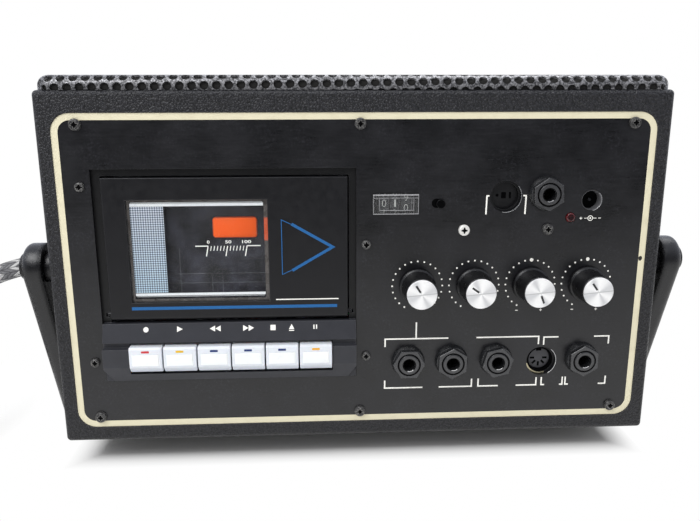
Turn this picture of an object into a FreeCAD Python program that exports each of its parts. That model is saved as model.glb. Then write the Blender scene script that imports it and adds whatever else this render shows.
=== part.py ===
"""Portable four track cassette recorder in a covered wooden case, in millimetres.

X runs to the right as one faces the control panel, Y runs into the case and Z runs up.
The origin lies on the floor, under the middle of the recorder without its carrying cord.
"""
import FreeCAD, Part
import math
import os

V = FreeCAD.Vector
os.makedirs("parts", exist_ok=True)

# ---------------------------------------------------------------- case
CASE_W = 330.0            # over the covering, side to side
CASE_H = 192.0            # over the covering, without feet and grille
CASE_D = 165.0            # over the covering, front to back
COVER_T = 1.0             # leather-grained covering
CASE_EDGE_R = 2.5         # softened outer edges
SIDE_T = 6.8              # side boards
TOP_T = 10.2              # top board, which carries the loudspeaker
BOTTOM_T = 7.6            # bottom board
BATTEN_W = 13.0           # battens behind the panel and inside the rear cover
GAP = 0.25                # fitting gap round plates and mouldings
TOUCH = 0.3               # gap between a moving piece and the piece it closes against
PAST = 1.0                # how far a cutting tool runs past the face it starts from

# ---------------------------------------------------------------- feet and handle
STAND_H = 17.0            # the case's underside above the floor
FRONT_FOOT_H = 6.0        # short feet that are used when the handle is up
FOOT_R = 8.0
FOOT_TAPER = 0.86         # foot's radius on the floor, as a share of its radius at the case
FOOT_X = 128.0            # feet from the middle
FRONT_FOOT_D = 26.0       # depth of the front feet behind the front face
REAR_FOOT_INSET = 16.0    # rear feet from the back
PIVOT_D = 20.0            # handle pivot behind the front face
PIVOT_H = 97.0            # handle pivot above the underside
ARM_LEN = 112.0           # pivot to the middle of the bar
ARM_T = 11.0              # arm thickness
ARM_CLEAR = 7.0           # side of the case to the inside of the arm
HUB_R = 13.0              # arm's round end at the pivot
ARM_END_R = 8.6           # arm's round end at the bar
BAR_R = 6.5
RING_R = 8.35             # rubber rings that stand on the floor under the case
RING_W = 14.0
RING_X = 103.0
PIVOT_R = 4.0             # pivot bolt
PIVOT_FIT = 0.06          # running clearance of the arm on its bolt
CAP_R = 7.3               # round cover on the bolt's head
CAP_T = 2.6
CAP_EDGE_R = 1.2
HUB_EDGE_R = 4.0          # rounded outer edge of the arms
PIVOT_WASHER_R = 9.0      # washer between case and arm
PIVOT_NUT_R = 8.0         # nut inside the case
PIVOT_NUT_T = 5.0
PIVOT_END = 1.0           # bolt beyond its nut

# ---------------------------------------------------------------- front panel
PANEL_T = 2.0
PANEL_SINK = 0.5          # panel face behind the covering's face
PANEL_CORNER_R = 10.0
SCREW_HEAD_R = 3.05       # cross-headed panel screws
SCREW_HEAD_T = 1.9
DECK_HEAD_R = 2.5         # smaller heads of the deck screws
SCREW_HEAD_EDGE_R = 0.9
SCREW_R = 1.45
SCREW_FIT = 0.2           # clearance of a screw in the plate it holds
SCREW_LEN = 11.0
PILOT_SPARE = 2.0         # pilot hole beyond the screw's end
RECESS_HALF = 1.6         # cross recess, half its length
RECESS_W = 0.35           # cross recess, half its width
RECESS_DEEP = 1.0
SCREW_INSET_X = 12.6      # panel screws from the panel's side edges
SCREW_INSET_TOP = 5.8
SCREW_INSET_BOTTOM = 6.1

# ---------------------------------------------------------------- cassette deck
DECK_LEFT = 17.6          # deck opening from the panel's left edge
DECK_TOP = 28.5           # deck opening below the panel's top edge
FLANGE = 9.8              # screw lugs and chassis beyond the deck opening
FLANGE_LAP = 2.4          # bezel flange that lies behind the panel between the lugs
LUG_HALF = 5.5            # half height of a screw lug
DECK_SCREW_OUT = 5.4      # deck screws outside the deck opening
DECK_SCREWS_DOWN = (8.9, 41.1)    # upper left and right ones below its top edge
DECK_SCREWS_UP = (11.1, 11.9)     # lower left and right ones above its lower edge
FLANGE_T = 2.5
DOOR_SINK = 3.0           # bezel rim round the door, behind the front face
DOOR_W = 127.7
DOOR_H = 77.3
DOOR_T = 3.0
DOOR_LEFT = 5.1           # door from the deck opening's left edge
DOOR_RIGHT = 4.7          # and from its right edge
DOOR_TOP = 4.5            # door below the deck opening's top edge
DOOR_PLAY = 0.8           # gap round the door
DOOR_UNDER = 1.5          # gap under the door, room for its lower edge to swing
DOOR_EDGE_R = 2.2         # rounded lower edge that turns past the label strip
DOOR_RIM_R = 0.4          # other front edges, round the door and its window
EAR_W = 3.0               # ears on the door's back that carry its hinge pins
EAR_DEEP = 3.6
EAR_UP = (1.0, 14.0)      # above the door's lower edge
PIN_IN_DOOR = 2.0
DOOR_SWING = 28.0         # opening angle
HINGE_D = 3.8             # door hinge axis behind the front face
HINGE_UP = 3.0            # door hinge axis above the door's lower edge
HINGE_R = 1.5
HINGE_FIT = 0.06
WINDOW_LEFT = 11.8        # window opening from the door's left edge
WINDOW_W = 73.6
WINDOW_LOW = 10.1         # window opening above the door's lower edge
WINDOW_DOWN = 11.7        # and below its upper edge
WINDOW_T = 1.5
WINDOW_SINK = 0.7         # pane behind the door's face
WINDOW_FIT = 0.15
SKIRT_T = 1.25            # wall behind the pane, down to the card
WELL_T = 1.5              # moulded walls behind the bezel
CHASSIS_D = 27.0          # deck chassis behind the front face
CHASSIS_T = 1.2
PILLAR_R = 3.5
HEAD_PLATE_HALF = 36.0    # plate that carries tape head and pinch roller
HEAD_PLATE_T = 1.2
HEAD_STUD_X = 24.0
HEAD_STUD_R = 2.0
HEAD_DROP = 10.0          # plate's lower edge below the door's
HEAD_W = 13.0
HEAD_ROUND = 4.0
CASSETTE_W = 100.4        # standard compact cassette
CASSETTE_H = 63.8
CASSETTE_T = 12.0
CASSETTE_UP = 5.0         # cassette above the door's lower edge
CASSETTE_PLAY = 0.6
HOLDER_D = 7.6            # printed card of the cassette holder, behind the front face
HOLDER_T = 1.0
HOLDER_SIDE_T = 1.2
HOLDER_LIP = 6.0          # lips that hold the cassette from behind
HOLDER_LOW = 1.5          # tray below the cassette
HOLDER_DOWN = 5.0         # tray's upper edge below the door's
HOLDER_SHELF_W = 14.0     # shelves under the cassette's two ends
POST_W = 4.0              # posts between door and tray
POST_OUT = 3.0            # posts from the tray's left edge and past the window
POST_LOW = 7.0            # lower posts below the window, upper ones half a post above it
TAB_RIGHT = (44.0, 67.3)  # raised tab behind the window, from its left edge
TAB_UP = (34.2, 45.0)     # and from its lower edge
TAB_PROUD = 1.5
TAB_CORNER_R = 2.0
SPINDLE_PITCH = 42.5      # standard distance of the two hubs
SPINDLE_UP = 34.5         # hub line above the cassette's lower edge
SPINDLE_R = 1.5
SPINDLE_FIT = 0.05
SPINDLE_TIP = 3.0         # spindle tips behind the card
HUB_CORE_R = 3.0
FIN_T = 1.2
FIN_BACK = 1.5            # fins behind the hub's tip
FIN_REACH = 4.3
REEL_DISC_R = 11.0
REEL_DISC_T = 3.0
CLIP_T = 3.0              # retaining clip behind the chassis
STRIP_H = 9.9             # sloping label strip under the door
STRIP_RISE = 3.5          # how far its lower edge stands out
STRIP_LEDGE = 1.6         # step back under the strip
STRIP_BAND = 3.1          # height of that stepped-back band
STRIP_DRAFT = 0.2         # slope of the band's upper and lower edges
SURROUND_GAP = (2.0, 0.6)         # key surround below and above the keys

# ---------------------------------------------------------------- keys
KEY_NAMES = ["record", "play", "rewind", "forward", "stop", "pause"]
KEY_GAP = 0.8             # between two keys
KEY_H = 14.4
KEY_FIRST = 14.6          # first key from the deck opening's left edge
KEY_LAST = 12.8           # last key's pitch from its right edge
KEY_UNDER = 1.7           # keys under the label strip
KEY_LOW = 7.1             # keys above the deck opening's lower edge
KEY_PROUD = 6.8           # key faces in front of the front face
KEY_EDGE_R = 0.5
KEY_PAD_INSET = 1.9       # raised pad from the key's sides
KEY_PAD_UP = (4.0, 10.6)  # pad above the key's lower edge
KEY_PAD_T = 0.25
KEY_DROP_DEG = 3.5        # travel of a key about its shaft
KEY_SHAFT_D = 21.0        # key shaft behind the front face
KEY_SHAFT_UP = 7.4        # key shaft above the keys' lower edge
KEY_SHAFT_R = 2.0
KEY_SHAFT_FIT = 0.06
KEY_SIDE_GAP = 0.5        # surround outside the row of keys
KEY_CAP_BACK = 1.5        # key caps' back behind the front face
KEY_ARM_UP = (4.8, 11.3)  # key arms above the keys' lower edge
SHAFT_PLATE_OUT = 4.0     # bearing plates of the key shaft outside the keys
SHAFT_PLATE_T = 1.5
SHAFT_PLATE_HALF = 5.0
SHAFT_END = 0.6           # shaft beyond its bearing plates
KEY_BOSS_R = 4.5
KEY_ARM_W = 13.0
CHEEK_PROUD = 5.5         # ends of the key surround in front of the front face
CHEEK_CUT = 5.0           # cut-off lower corners
CHEEK_UP = 2.7            # lower edge of the surround's face above the keys' lower edge

# ---------------------------------------------------------------- knobs and sockets
KNOB_NAMES = ["input", "tape", "bass", "treble"]
KNOB_PITCH = 31.3
KNOB_RIGHT = 32.0         # last knob from the panel's right edge
KNOB_UP = 79.1            # knobs above the panel's lower edge
KNOB_R = 9.9
KNOB_CAP_R = 8.0
KNOB_REACH = 18.4         # knob face in front of the panel
KNOB_CAP_T = 1.2
KNOB_SKIRT_GAP = 0.8      # knob above the panel
KNOB_EDGE_R = 1.0
KNOB_NUT_ROOM = 0.9       # room for the nut inside the knob's skirt
SHAFT_R = 3.0
SHAFT_FIT = 0.06
SHAFT_PROUD = 13.0        # shaft in front of the panel
SHAFT_IN = 6.0            # and behind it
BUSH_PROUD = 0.6          # bush in front of its nut
POT_BUSH_R = 4.6
POT_R = 8.5
POT_LEN = 11.0
NUT_R = 6.5               # pot nuts, across corners
NUT_T = 2.0
NUT_CHAMFER = 0.35        # height of the chamfer over a nut's corners, as a share of its radius / 2
JACK_FROM_RIGHT = [130.3, 105.8, 80.5, 31.6]
JACK_UP = 35.4            # lower sockets above the panel's lower edge
JACK_BORE_R = 3.3         # takes a 6.35 mm plug
JACK_BUSH_R = 5.7
JACK_NOSE = 6.5           # bush in front of the panel
JACK_LEN = 24.0
JACK_EDGE_R = 0.6
JACK_BODY = 15.0
JACK_END = 2.0            # closed end of the bore
JACK_NUT_R = 9.0          # across corners
JACK_NUT_T = 3.2
WASHER_R = 8.2
WASHER_T = 0.8
PHONES_RIGHT = 57.7       # headphone jack from the panel's right edge
PHONES_DOWN = 42.8        # and below the panel's top edge
DIN_R = 8.5               # socket openings in the panel
DIN_WALL = 1.1
DIN_RIM = 1.5             # shell outside the opening, behind the panel
DIN_DEEP = 12.0           # shell behind the insert's face
DIN_PIN_DEEP = 8.0
DIN_FACE_D = 5.5          # insert behind the front face
DIN_PIN_R = 0.75
DIN_PIN_CIRCLE_R = 3.55
DIN_BLADE_HALF = (0.6, 1.7)       # slot for a flat blade, half its width and half its height
TAPE_DIN_RIGHT = 54.4
SPEAKER_DIN_RIGHT = 79.3
TOP_ROW_DOWN = 44.3       # speaker socket below the panel's top edge
SUPPLY_RIGHT = 32.4       # low voltage socket
SUPPLY_DOWN = 46.8
SUPPLY_R = 5.5
SUPPLY_BORE_R = 2.9
SUPPLY_PIN_R = 1.05
SUPPLY_PIN_SINK = 1.5
SUPPLY_LEN = 14.0
SUPPLY_END = 3.0
SUPPLY_RIM = 2.0
LAMP_RIGHT = 43.4
LAMP_DOWN = 56.0
LAMP_R = 2.5
LAMP_PROUD = 1.0
LAMP_DOME_R = 0.9
LAMP_IN = 5.0
LAMP_RIM = 0.5
SPARE_SCREWS = [(101.3, 62.3), (55.6, 62.3)]    # from the panel's right and top edges

# ---------------------------------------------------------------- tape counter
COUNTER_RIGHT = 150.8     # window's left edge from the panel's right edge
COUNTER_DOWN = 42.2       # window's upper edge below the panel's top edge
COUNTER_W = 24.9
COUNTER_H = 11.3
COUNTER_LENS_T = 1.6
WHEEL_PITCH = 5.9
WHEEL_W = 5.3
WHEEL_R = 9.0
WHEEL_D = 12.6            # wheel axis behind the front face
WHEEL_SHAFT_R = 1.5
COUNTER_WALL = 1.5
COUNTER_ROOM = 1.0        # between wheels and counter case
LENS_PROUD = 0.7          # lens in front of the front face
LENS_EDGE_R = 0.7
RESET_GAP = 11.6          # reset button from the counter window's right edge
RESET_R = 2.3
RESET_FIT = 0.08
RESET_PROUD = 1.6
RESET_IN = 4.0            # stem behind the panel
RESET_COLLAR = 1.2

# ---------------------------------------------------------------- grille and loudspeaker
GRILLE_INSET = 1.3
GRILLE_RISE = 7.5
GRILLE_T = 1.0
GRILLE_CORNER_R = 7.0
GRILLE_BEND_R = 3.0
HOLE_R = 2.15
HOLE_PITCH = 6.1
HOLE_EDGE = 2.85          # flat perforated field from the grille's edge
HOLE_ROOM = 0.6           # metal left between a hole and the field's edge
CONE_LONG = 78.0          # half length of the cone's opening
SPEAKER_FRONT = 25.5      # basket's rim behind the front battens
SPEAKER_BACK = 5.0        # and in front of the rear ones
BASKET_RIM = 9.0
BASKET_DEPTH = 32.0
BASKET_T = 1.4
BASKET_RIM_T = 2.0
SPEAKER_SCREW_R = 1.0
SPEAKER_SCREW_LEN = 6.0   # in the top board
MAGNET_IN = 12.0          # magnet's edge inside the cone's opening
MAGNET_T = 13.0
VOICE_R = 13.0
CONE_T = 1.0
CONE_SINK = 0.6           # cone's edge below the top board
CONE_GAP = 1.0
VOICE_UP = 5.0            # cone's lower end above the magnet
NEARLY = 0.1              # keeps an ellipse's two radii apart

# ---------------------------------------------------------------- inside
MOTOR_R = 16.0
MOTOR_LEN = 28.0
MOTOR_X = -48.0           # from the middle of the door
MOTOR_UP = 50.0           # above the door's lower edge
MOTOR_GAP = 9.0           # motor behind the chassis
MOTOR_STUD_X = 11.0
MOTOR_STUD_R = 1.5
MOTOR_BOSS_R = 3.2
MOTOR_BOSS_T = 0.8
MOTOR_SHAFT_R = 1.0
MOTOR_SHAFT_IN = 12.0
MOTOR_END = 2.0           # closed end of the motor
PULLEY_R = 5.0
PULLEY_W = 3.6
FLYWHEEL_R = 22.0
FLYWHEEL_T = 8.0
FLYWHEEL_GAP = 2.0
CAPSTAN_X = 29.5
CAPSTAN_UP = 13.0         # above the door's lower edge
CAPSTAN_R = 1.2
CAPSTAN_END = 2.0         # capstan beyond its flywheel
ROLLER_R = 5.5
ROLLER_W = 8.0
ROLLER_D = 11.0           # roller behind the front face
ROLLER_DOWN = 5.0         # roller below the door's lower edge
ROLLER_PIN_R = 1.0
ROLLER_END = 1.4          # pin in front of the roller
HEAD_IN = 2.0             # head's face behind the card
BELT_GAP = 0.3
BELT_T = 1.5
BELT_W = 3.0
BOARD_T = 1.6
BOARD_MARGIN = 14.0       # upright board beyond the knobs' middles
BOARD_W = 163.0           # flat board on the bottom
BOARD_L = 80.0
BOARD_SIDE = 12.0         # from the right side board
BOARD_BACK = 4.0          # in front of the rear battens
STANDOFF_H = 6.0
STANDOFF_R = 3.0
STANDOFF_INSET = 6.0
TRANSFORMER = (58.0, 40.0, 48.0)
TRANSFORMER_SIDE = 28.0   # from the left side board
TRANSFORMER_BACK = 32.0   # in front of the rear battens
CORE_LIMB = 10.0
CORE_WINDOW = 9.0
CORE_FIT = 0.2
WINDING_OUT = 8.0         # winding beyond the core's faces
CAPACITOR_R = 11.0
CAPACITOR_H = 36.0
CAPACITOR_IN = 20.0       # from the flat board's left and rear edges
CAPACITOR_PITCH = 28.0
INLET_W = 27.0            # mains inlet in the rear cover
INLET_H = 20.0
INLET_RIGHT = 30.0        # its corner from the panel's left edge
INLET_UP = 28.0           # and above the panel's lower edge
INLET_DEEP = 18.0
INLET_WALL = 5.0
INLET_LIP = 2.0           # flange inside the cover
INLET_PIN_X = 4.3         # pins from the middle
INLET_PIN_R = 1.2
INLET_PIN_LEN = 9.0
REAR_HEAD_T = 0.95        # low heads of the rear cover's screws
REAR_T = 3.0
REAR_SINK = 1.0
SLOT_W = 46.0             # ventilation slots in the rear cover, in two columns
SLOT_H = 4.5
SLOT_PITCH = 10.0
SLOT_XS = (-30.0, 40.0)
SLOT_UP = 70.0            # lowest slots above the panel's lower edge
SLOT_ROWS = 6

# ---------------------------------------------------------------- carrying cord
CORD_R = 5.0
# Middle line of the cord, from the left pivot's cap down to the floor and on to the coil:
# out from the case's side, behind its front face, above the floor.
CORD_ROUTE = [(20.4, 20.05, 114.0), (37.0, 20.15, 109.9), (51.1, 19.75, 100.4),
              (61.7, 18.95, 85.8), (67.3, 17.75, 68.7), (69.7, 16.35, 51.9),
              (74.4, 14.65, 36.6), (84.9, 12.45, 23.2), (99.5, 9.75, 14.4),
              (116.5, 7.35, 8.5), (134.2, 5.85, 5.4), (153.0, 5.05, 5.0)]
COIL_TURN_R = [45.0, 55.0, 65.0]   # middle line of each turn
COIL_OUT, COIL_BACK = 153.0, 70.05  # middle of the coil, measured as the route is
HOOK_START = -15.0        # where the cord leaves the coil's inside, degrees about its middle
HOOK_TURN = 50.0          # how far the hook points inward from the inmost turn
HOOK_LEN = 46.0
HOOK_R = 4.0
HOOK_SWIVEL = 0.45        # share of the hook's length that is its swivel
BOW_R = 9.0               # middle line of the hook's ring
BOW_WIRE_R = 2.2
ARC_SHARE = 0.45          # part of a run that its arc takes

# ---------------------------------------------------------------- worked out from the above
FRONT_REACH = KNOB_REACH - PANEL_SINK
FRONT_Y = -(CASE_D - FRONT_REACH) / 2
FLOOR_TO_TOP = STAND_H + CASE_H
PANEL_HALF = CASE_W / 2 - SIDE_T - COVER_T
PANEL_BOT = STAND_H + COVER_T + BOTTOM_T
PANEL_TOP = FLOOR_TO_TOP - COVER_T - TOP_T
PANEL_BACK = PANEL_SINK + PANEL_T
DECK_X0 = -PANEL_HALF + DECK_LEFT
DECK_X1 = DECK_X0 + DOOR_LEFT + DOOR_W + DOOR_RIGHT
DECK_Z1 = PANEL_TOP - DECK_TOP
DECK_Z0 = DECK_Z1 - DOOR_TOP - DOOR_H - DOOR_UNDER - STRIP_H - KEY_UNDER - KEY_H - KEY_LOW
DOOR_X0 = DECK_X0 + DOOR_LEFT
DOOR_X1 = DOOR_X0 + DOOR_W
DOOR_Z1 = DECK_Z1 - DOOR_TOP
DOOR_Z0 = DOOR_Z1 - DOOR_H
DOOR_MID = (DOOR_X0 + DOOR_X1) / 2
HINGE_Z = DOOR_Z0 + HINGE_UP
KEY_X0 = DECK_X0 + KEY_FIRST
KEY_X1 = DECK_X1 - KEY_LAST
KEY_PITCH = (KEY_X1 - KEY_X0) / len(KEY_NAMES)
KEY_Z0 = DECK_Z0 + KEY_LOW
KEY_Z1 = KEY_Z0 + KEY_H
KEY_SHAFT_Z = KEY_Z0 + KEY_SHAFT_UP
CASSETTE_Z0 = DOOR_Z0 + CASSETTE_UP
SPINDLE_Z = CASSETTE_Z0 + SPINDLE_UP
HOLDER_BACK = HOLDER_D + HOLDER_T + CASSETTE_T + CASSETTE_PLAY
KNOB_XS = [PANEL_HALF - KNOB_RIGHT - KNOB_PITCH * (3 - i) for i in range(4)]
KNOB_Z = PANEL_BOT + KNOB_UP
JACKS = [(PANEL_HALF - right, PANEL_BOT + JACK_UP) for right in JACK_FROM_RIGHT]
JACKS.append((PANEL_HALF - PHONES_RIGHT, PANEL_TOP - PHONES_DOWN))
TAPE_DIN = (PANEL_HALF - TAPE_DIN_RIGHT, PANEL_BOT + JACK_UP - 1.4)
SPEAKER_DIN = (PANEL_HALF - SPEAKER_DIN_RIGHT, PANEL_TOP - TOP_ROW_DOWN)
SUPPLY = (PANEL_HALF - SUPPLY_RIGHT, PANEL_TOP - SUPPLY_DOWN)
LAMP = (PANEL_HALF - LAMP_RIGHT, PANEL_TOP - LAMP_DOWN)
COUNTER_X0 = PANEL_HALF - COUNTER_RIGHT
COUNTER_X1 = COUNTER_X0 + COUNTER_W
COUNTER_Z1 = PANEL_TOP - COUNTER_DOWN
COUNTER_Z0 = COUNTER_Z1 - COUNTER_H
COUNTER_Z = (COUNTER_Z0 + COUNTER_Z1) / 2
RESET = (COUNTER_X1 + RESET_GAP, COUNTER_Z)
CORD_POINTS = [(-CASE_W / 2 - out, FRONT_Y + back, up) for out, back, up in CORD_ROUTE]
COIL_CENTRE = (-CASE_W / 2 - COIL_OUT, FRONT_Y + COIL_BACK)
PIVOT_Z = STAND_H + PIVOT_H
ARM_X0 = CASE_W / 2 + ARM_CLEAR
ARM_X1 = ARM_X0 + ARM_T
ARM_ANGLE = math.acos((PIVOT_Z - RING_R) / ARM_LEN)
BAR_D = PIVOT_D + ARM_LEN * math.sin(ARM_ANGLE)
REAR_FACE_D = CASE_D - REAR_SINK
REAR_COVER_D = REAR_FACE_D - REAR_T
INLET_X0 = -PANEL_HALF + INLET_RIGHT
INLET_Z0 = PANEL_BOT + INLET_UP
WINDOW_X0 = DOOR_X0 + WINDOW_LEFT
WINDOW_X1 = WINDOW_X0 + WINDOW_W
WINDOW_Z0 = DOOR_Z0 + WINDOW_LOW
WINDOW_Z1 = DOOR_Z1 - WINDOW_DOWN
CHASSIS_BACK = CHASSIS_D + CHASSIS_T
BEZEL_BACK = PANEL_BACK + GAP + FLANGE_T
BASKET_D0 = PANEL_BACK + BATTEN_W + SPEAKER_FRONT
BASKET_D1 = REAR_COVER_D - BATTEN_W - SPEAKER_BACK
SPEAKER_D = (BASKET_D0 + BASKET_D1) / 2
CONE_SHORT = (BASKET_D1 - BASKET_D0) / 2 - BASKET_RIM
MAGNET_R = CONE_SHORT - MAGNET_IN
BEHIND_TRAY = HOLDER_BACK + HOLDER_T + TOUCH
SPINDLE_XS = [DOOR_MID - SPINDLE_PITCH / 2, DOOR_MID + SPINDLE_PITCH / 2]
CAPSTAN = (DOOR_MID + CAPSTAN_X, DOOR_Z0 + CAPSTAN_UP)
ROLLER = (DOOR_MID + CAPSTAN_X, DOOR_Z0 - ROLLER_DOWN)
MOTOR = (DOOR_MID + MOTOR_X, DOOR_Z0 + MOTOR_UP)
MOTOR_FACE = CHASSIS_BACK + MOTOR_GAP
SHAFT_PLATE_XS = (KEY_X0 - SHAFT_PLATE_OUT, KEY_X1 + SHAFT_PLATE_OUT - SHAFT_PLATE_T - KEY_GAP)


def at(depth):
    """Y of a plane that lies this far behind the case's front face."""
    return FRONT_Y + depth


def block(x0, x1, d0, d1, z0, z1):
    """Box between two X, two depths behind the front face and two Z."""
    return Part.makeBox(x1 - x0, d1 - d0, z1 - z0, V(x0, at(d0), z0))


def rod(x, z, r, d0, d1):
    """Round rod along Y at (x, z) between two depths."""
    return Part.makeCylinder(r, d1 - d0, V(x, at(d0), z), V(0, 1, 0))


def rod_x(depth, z, r, x0, x1):
    """Round rod along X."""
    return Part.makeCylinder(r, x1 - x0, V(x0, at(depth), z), V(1, 0, 0))


def rod_z(x, depth, r, z0, z1):
    """Round rod along Z."""
    return Part.makeCylinder(r, z1 - z0, V(x, at(depth), z0), V(0, 0, 1))


def rounded_block(x0, x1, d0, d1, z0, z1, r):
    """Plate across Y whose four outline corners are rounded."""
    shape = block(x0, x1, d0, d1, z0, z1)
    along_y = [e for e in shape.Edges if abs(e.tangentAt(e.FirstParameter).y) > 0.9]
    return shape.makeFillet(r, along_y)


def hexagon(x, z, r, d0, d1):
    """Hexagonal nut blank along Y, r across its corners / 2."""
    angles = [math.radians(60 * i) for i in range(7)]
    corners = [V(x + r * math.cos(a), at(d0), z + r * math.sin(a)) for a in angles]
    return Part.Face(Part.makePolygon(corners)).extrude(V(0, d1 - d0, 0))


def chamfered_nut(x, z, r, d0, d1):
    """Hexagonal nut whose front corners are turned down."""
    drop = r * NUT_CHAMFER / 2
    turned = Part.makeCone(r - r * NUT_CHAMFER / 2, r, drop, V(x, at(d0), z), V(0, 1, 0))
    return hexagon(x, z, r, d0, d1).common(turned.fuse(rod(x, z, r + PAST, d0 + drop, d1)))


def across_x(profile, x0, x1):
    """Solid of a (depth, z) outline drawn along X."""
    points = [V(x0, at(d), z) for d, z in profile]
    return Part.Face(Part.makePolygon(points + points[:1])).extrude(V(x1 - x0, 0, 0))


def tangent_face(a, b, ra, rb, place):
    """Face bounded by two circles and their outer tangents; place turns two coordinates to 3-D."""
    reach = math.hypot(b[0] - a[0], b[1] - a[1])
    heading = math.atan2(b[1] - a[1], b[0] - a[0])
    lean = math.acos((ra - rb) / reach)

    def on(centre, r, angle):
        return place(centre[0] + r * math.cos(angle), centre[1] + r * math.sin(angle))

    up, down = heading + lean, heading - lean
    edges = [Part.LineSegment(on(a, ra, up), on(b, rb, up)).toShape(),
             Part.Arc(on(b, rb, up), on(b, rb, heading), on(b, rb, down)).toShape(),
             Part.LineSegment(on(b, rb, down), on(a, ra, down)).toShape(),
             Part.Arc(on(a, ra, down), on(a, ra, heading + math.pi), on(a, ra, up)).toShape()]
    return Part.Face(Part.Wire(edges))


def cut(shape, *tools):
    """Shape with every tool taken away."""
    return shape.cut(Part.makeCompound(list(tools)))


def join(first, *others):
    """One solid out of pieces that share volume or a face."""
    return first.multiFuse(list(others)).removeSplitter()


def save(name, *solids):
    """Write the solids of one node, each checked, to its STEP file."""
    flat = [s for shape in solids for s in shape.Solids]
    for s in flat:
        if not s.isValid() or s.Volume <= 0:
            raise ValueError(name + " has a bad solid")
    shape = flat[0] if len(flat) == 1 else Part.makeCompound(flat)
    shape.exportStep("parts/" + name + ".step")


def mirrored(shape):
    """The same piece on the other side of the case."""
    return shape.mirror(V(0, 0, 0), V(1, 0, 0))


def both_sides(shape):
    """A piece and its mirror image."""
    return [shape, mirrored(shape)]


def panel_screw_places():
    """Six screws along the panel's upper and lower edges."""
    side = PANEL_HALF - SCREW_INSET_X
    heights = (PANEL_TOP - SCREW_INSET_TOP, PANEL_BOT + SCREW_INSET_BOTTOM)
    return [(x, z) for z in heights for x in (-side, 0.0, side)]


def deck_screw_places():
    """Four screws that hold the deck behind the panel."""
    sides = (DECK_X0 - DECK_SCREW_OUT, DECK_X1 + DECK_SCREW_OUT)
    upper = [(x, DECK_Z1 - down) for x, down in zip(sides, DECK_SCREWS_DOWN)]
    lower = [(x, DECK_Z0 + up) for x, up in zip(sides, DECK_SCREWS_UP)]
    return upper + lower


def spare_screw_places():
    """Two screws that hold the socket board."""
    return [(PANEL_HALF - right, PANEL_TOP - down) for right, down in SPARE_SCREWS]


def front_screw_places():
    """All cross-headed screws on the front."""
    return panel_screw_places() + deck_screw_places() + spare_screw_places()


def edges_at(shape, depth):
    """Edges whose middle lies at this depth."""
    return [e for e in shape.Edges if abs(e.CenterOfMass.y - at(depth)) < 0.01]


def ellipse_wire(half_long, half_short, z):
    """Upright ellipse outline over the loudspeaker's middle."""
    curve = Part.Ellipse(V(0, at(SPEAKER_D), z), half_long, half_short)
    return Part.Wire([curve.toShape()])


def ellipse_plate(half_long, half_short, z0, z1):
    """Flat elliptical plate."""
    return Part.Face(ellipse_wire(half_long, half_short, z0)).extrude(V(0, 0, z1 - z0))


def speaker_screw_places():
    """Four screws in the loudspeaker's rim, as (x, depth)."""
    x = (CONE_LONG + BASKET_RIM / 2) * math.cos(math.radians(35))
    d = (CONE_SHORT + BASKET_RIM / 2) * math.sin(math.radians(35))
    return [(sx * x, SPEAKER_D + sd * d) for sx in (-1, 1) for sd in (-1, 1)]


# ---------------------------------------------------------------- cabinet
def make_boards():
    """Two side boards, the top board and the bottom board."""
    low, high = STAND_H + COVER_T, FLOOR_TO_TOP - COVER_T
    front, back = COVER_T, CASE_D - COVER_T
    side = block(PANEL_HALF, PANEL_HALF + SIDE_T, front, back, low, high)
    side = cut(side, rod_x(PIVOT_D, PIVOT_Z, PIVOT_R, PANEL_HALF - PAST, PANEL_HALF + SIDE_T + PAST))
    save("side_boards", side, mirrored(side))

    top = block(-PANEL_HALF, PANEL_HALF, front, back, high - TOP_T, high)
    mouth = ellipse_plate(CONE_LONG, CONE_SHORT, high - TOP_T - PAST, high + PAST)
    pilots = [rod_z(x, d, SPEAKER_SCREW_R, PANEL_TOP - PAST, PANEL_TOP + SPEAKER_SCREW_LEN + PAST)
              for x, d in speaker_screw_places()]
    save("top_board", cut(top, mouth, *pilots))

    bottom = block(-PANEL_HALF, PANEL_HALF, front, back, low, low + BOTTOM_T)
    save("bottom_board", bottom)

    deck = block(DECK_X0 - FLANGE - TOUCH, DECK_X1 + FLANGE + TOUCH, 0, CHASSIS_BACK + TOUCH,
                 DECK_Z0 - FLANGE_LAP - TOUCH, DECK_Z1 + FLANGE_LAP + TOUCH)
    pilot_len = SCREW_LEN + PILOT_SPARE
    battens = []
    for d0, pilot_at in ((PANEL_BACK, PANEL_SINK), (REAR_COVER_D - BATTEN_W, REAR_FACE_D - pilot_len)):
        pilots = [rod(x, z, SCREW_R, pilot_at, pilot_at + pilot_len) for x, z in panel_screw_places()]
        battens += [cut(block(-PANEL_HALF, PANEL_HALF, d0, d0 + BATTEN_W, z0, z0 + BATTEN_W), deck, *pilots)
                    for z0 in (PANEL_TOP - BATTEN_W, PANEL_BOT)]
    save("battens", *battens)


def make_covering():
    """Leather-grained covering: a thin skin over the boards that wraps both open ends."""
    half = CASE_W / 2
    solid = block(-half, half, 0, CASE_D, STAND_H, FLOOR_TO_TOP)
    skin = solid.makeFillet(CASE_EDGE_R, solid.Edges)
    inside = block(-half + COVER_T, half - COVER_T, COVER_T, CASE_D - COVER_T,
                   STAND_H + COVER_T, FLOOR_TO_TOP - COVER_T)
    mouth = rounded_block(-PANEL_HALF, PANEL_HALF, -PAST, CASE_D + PAST, PANEL_BOT, PANEL_TOP,
                          PANEL_CORNER_R)
    speaker = ellipse_plate(CONE_LONG, CONE_SHORT, FLOOR_TO_TOP - COVER_T - PAST, FLOOR_TO_TOP + PAST)
    pivots = rod_x(PIVOT_D, PIVOT_Z, PIVOT_R, -half - PAST, half + PAST)
    save("vinyl_covering", cut(skin, inside, mouth, speaker, pivots))


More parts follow.
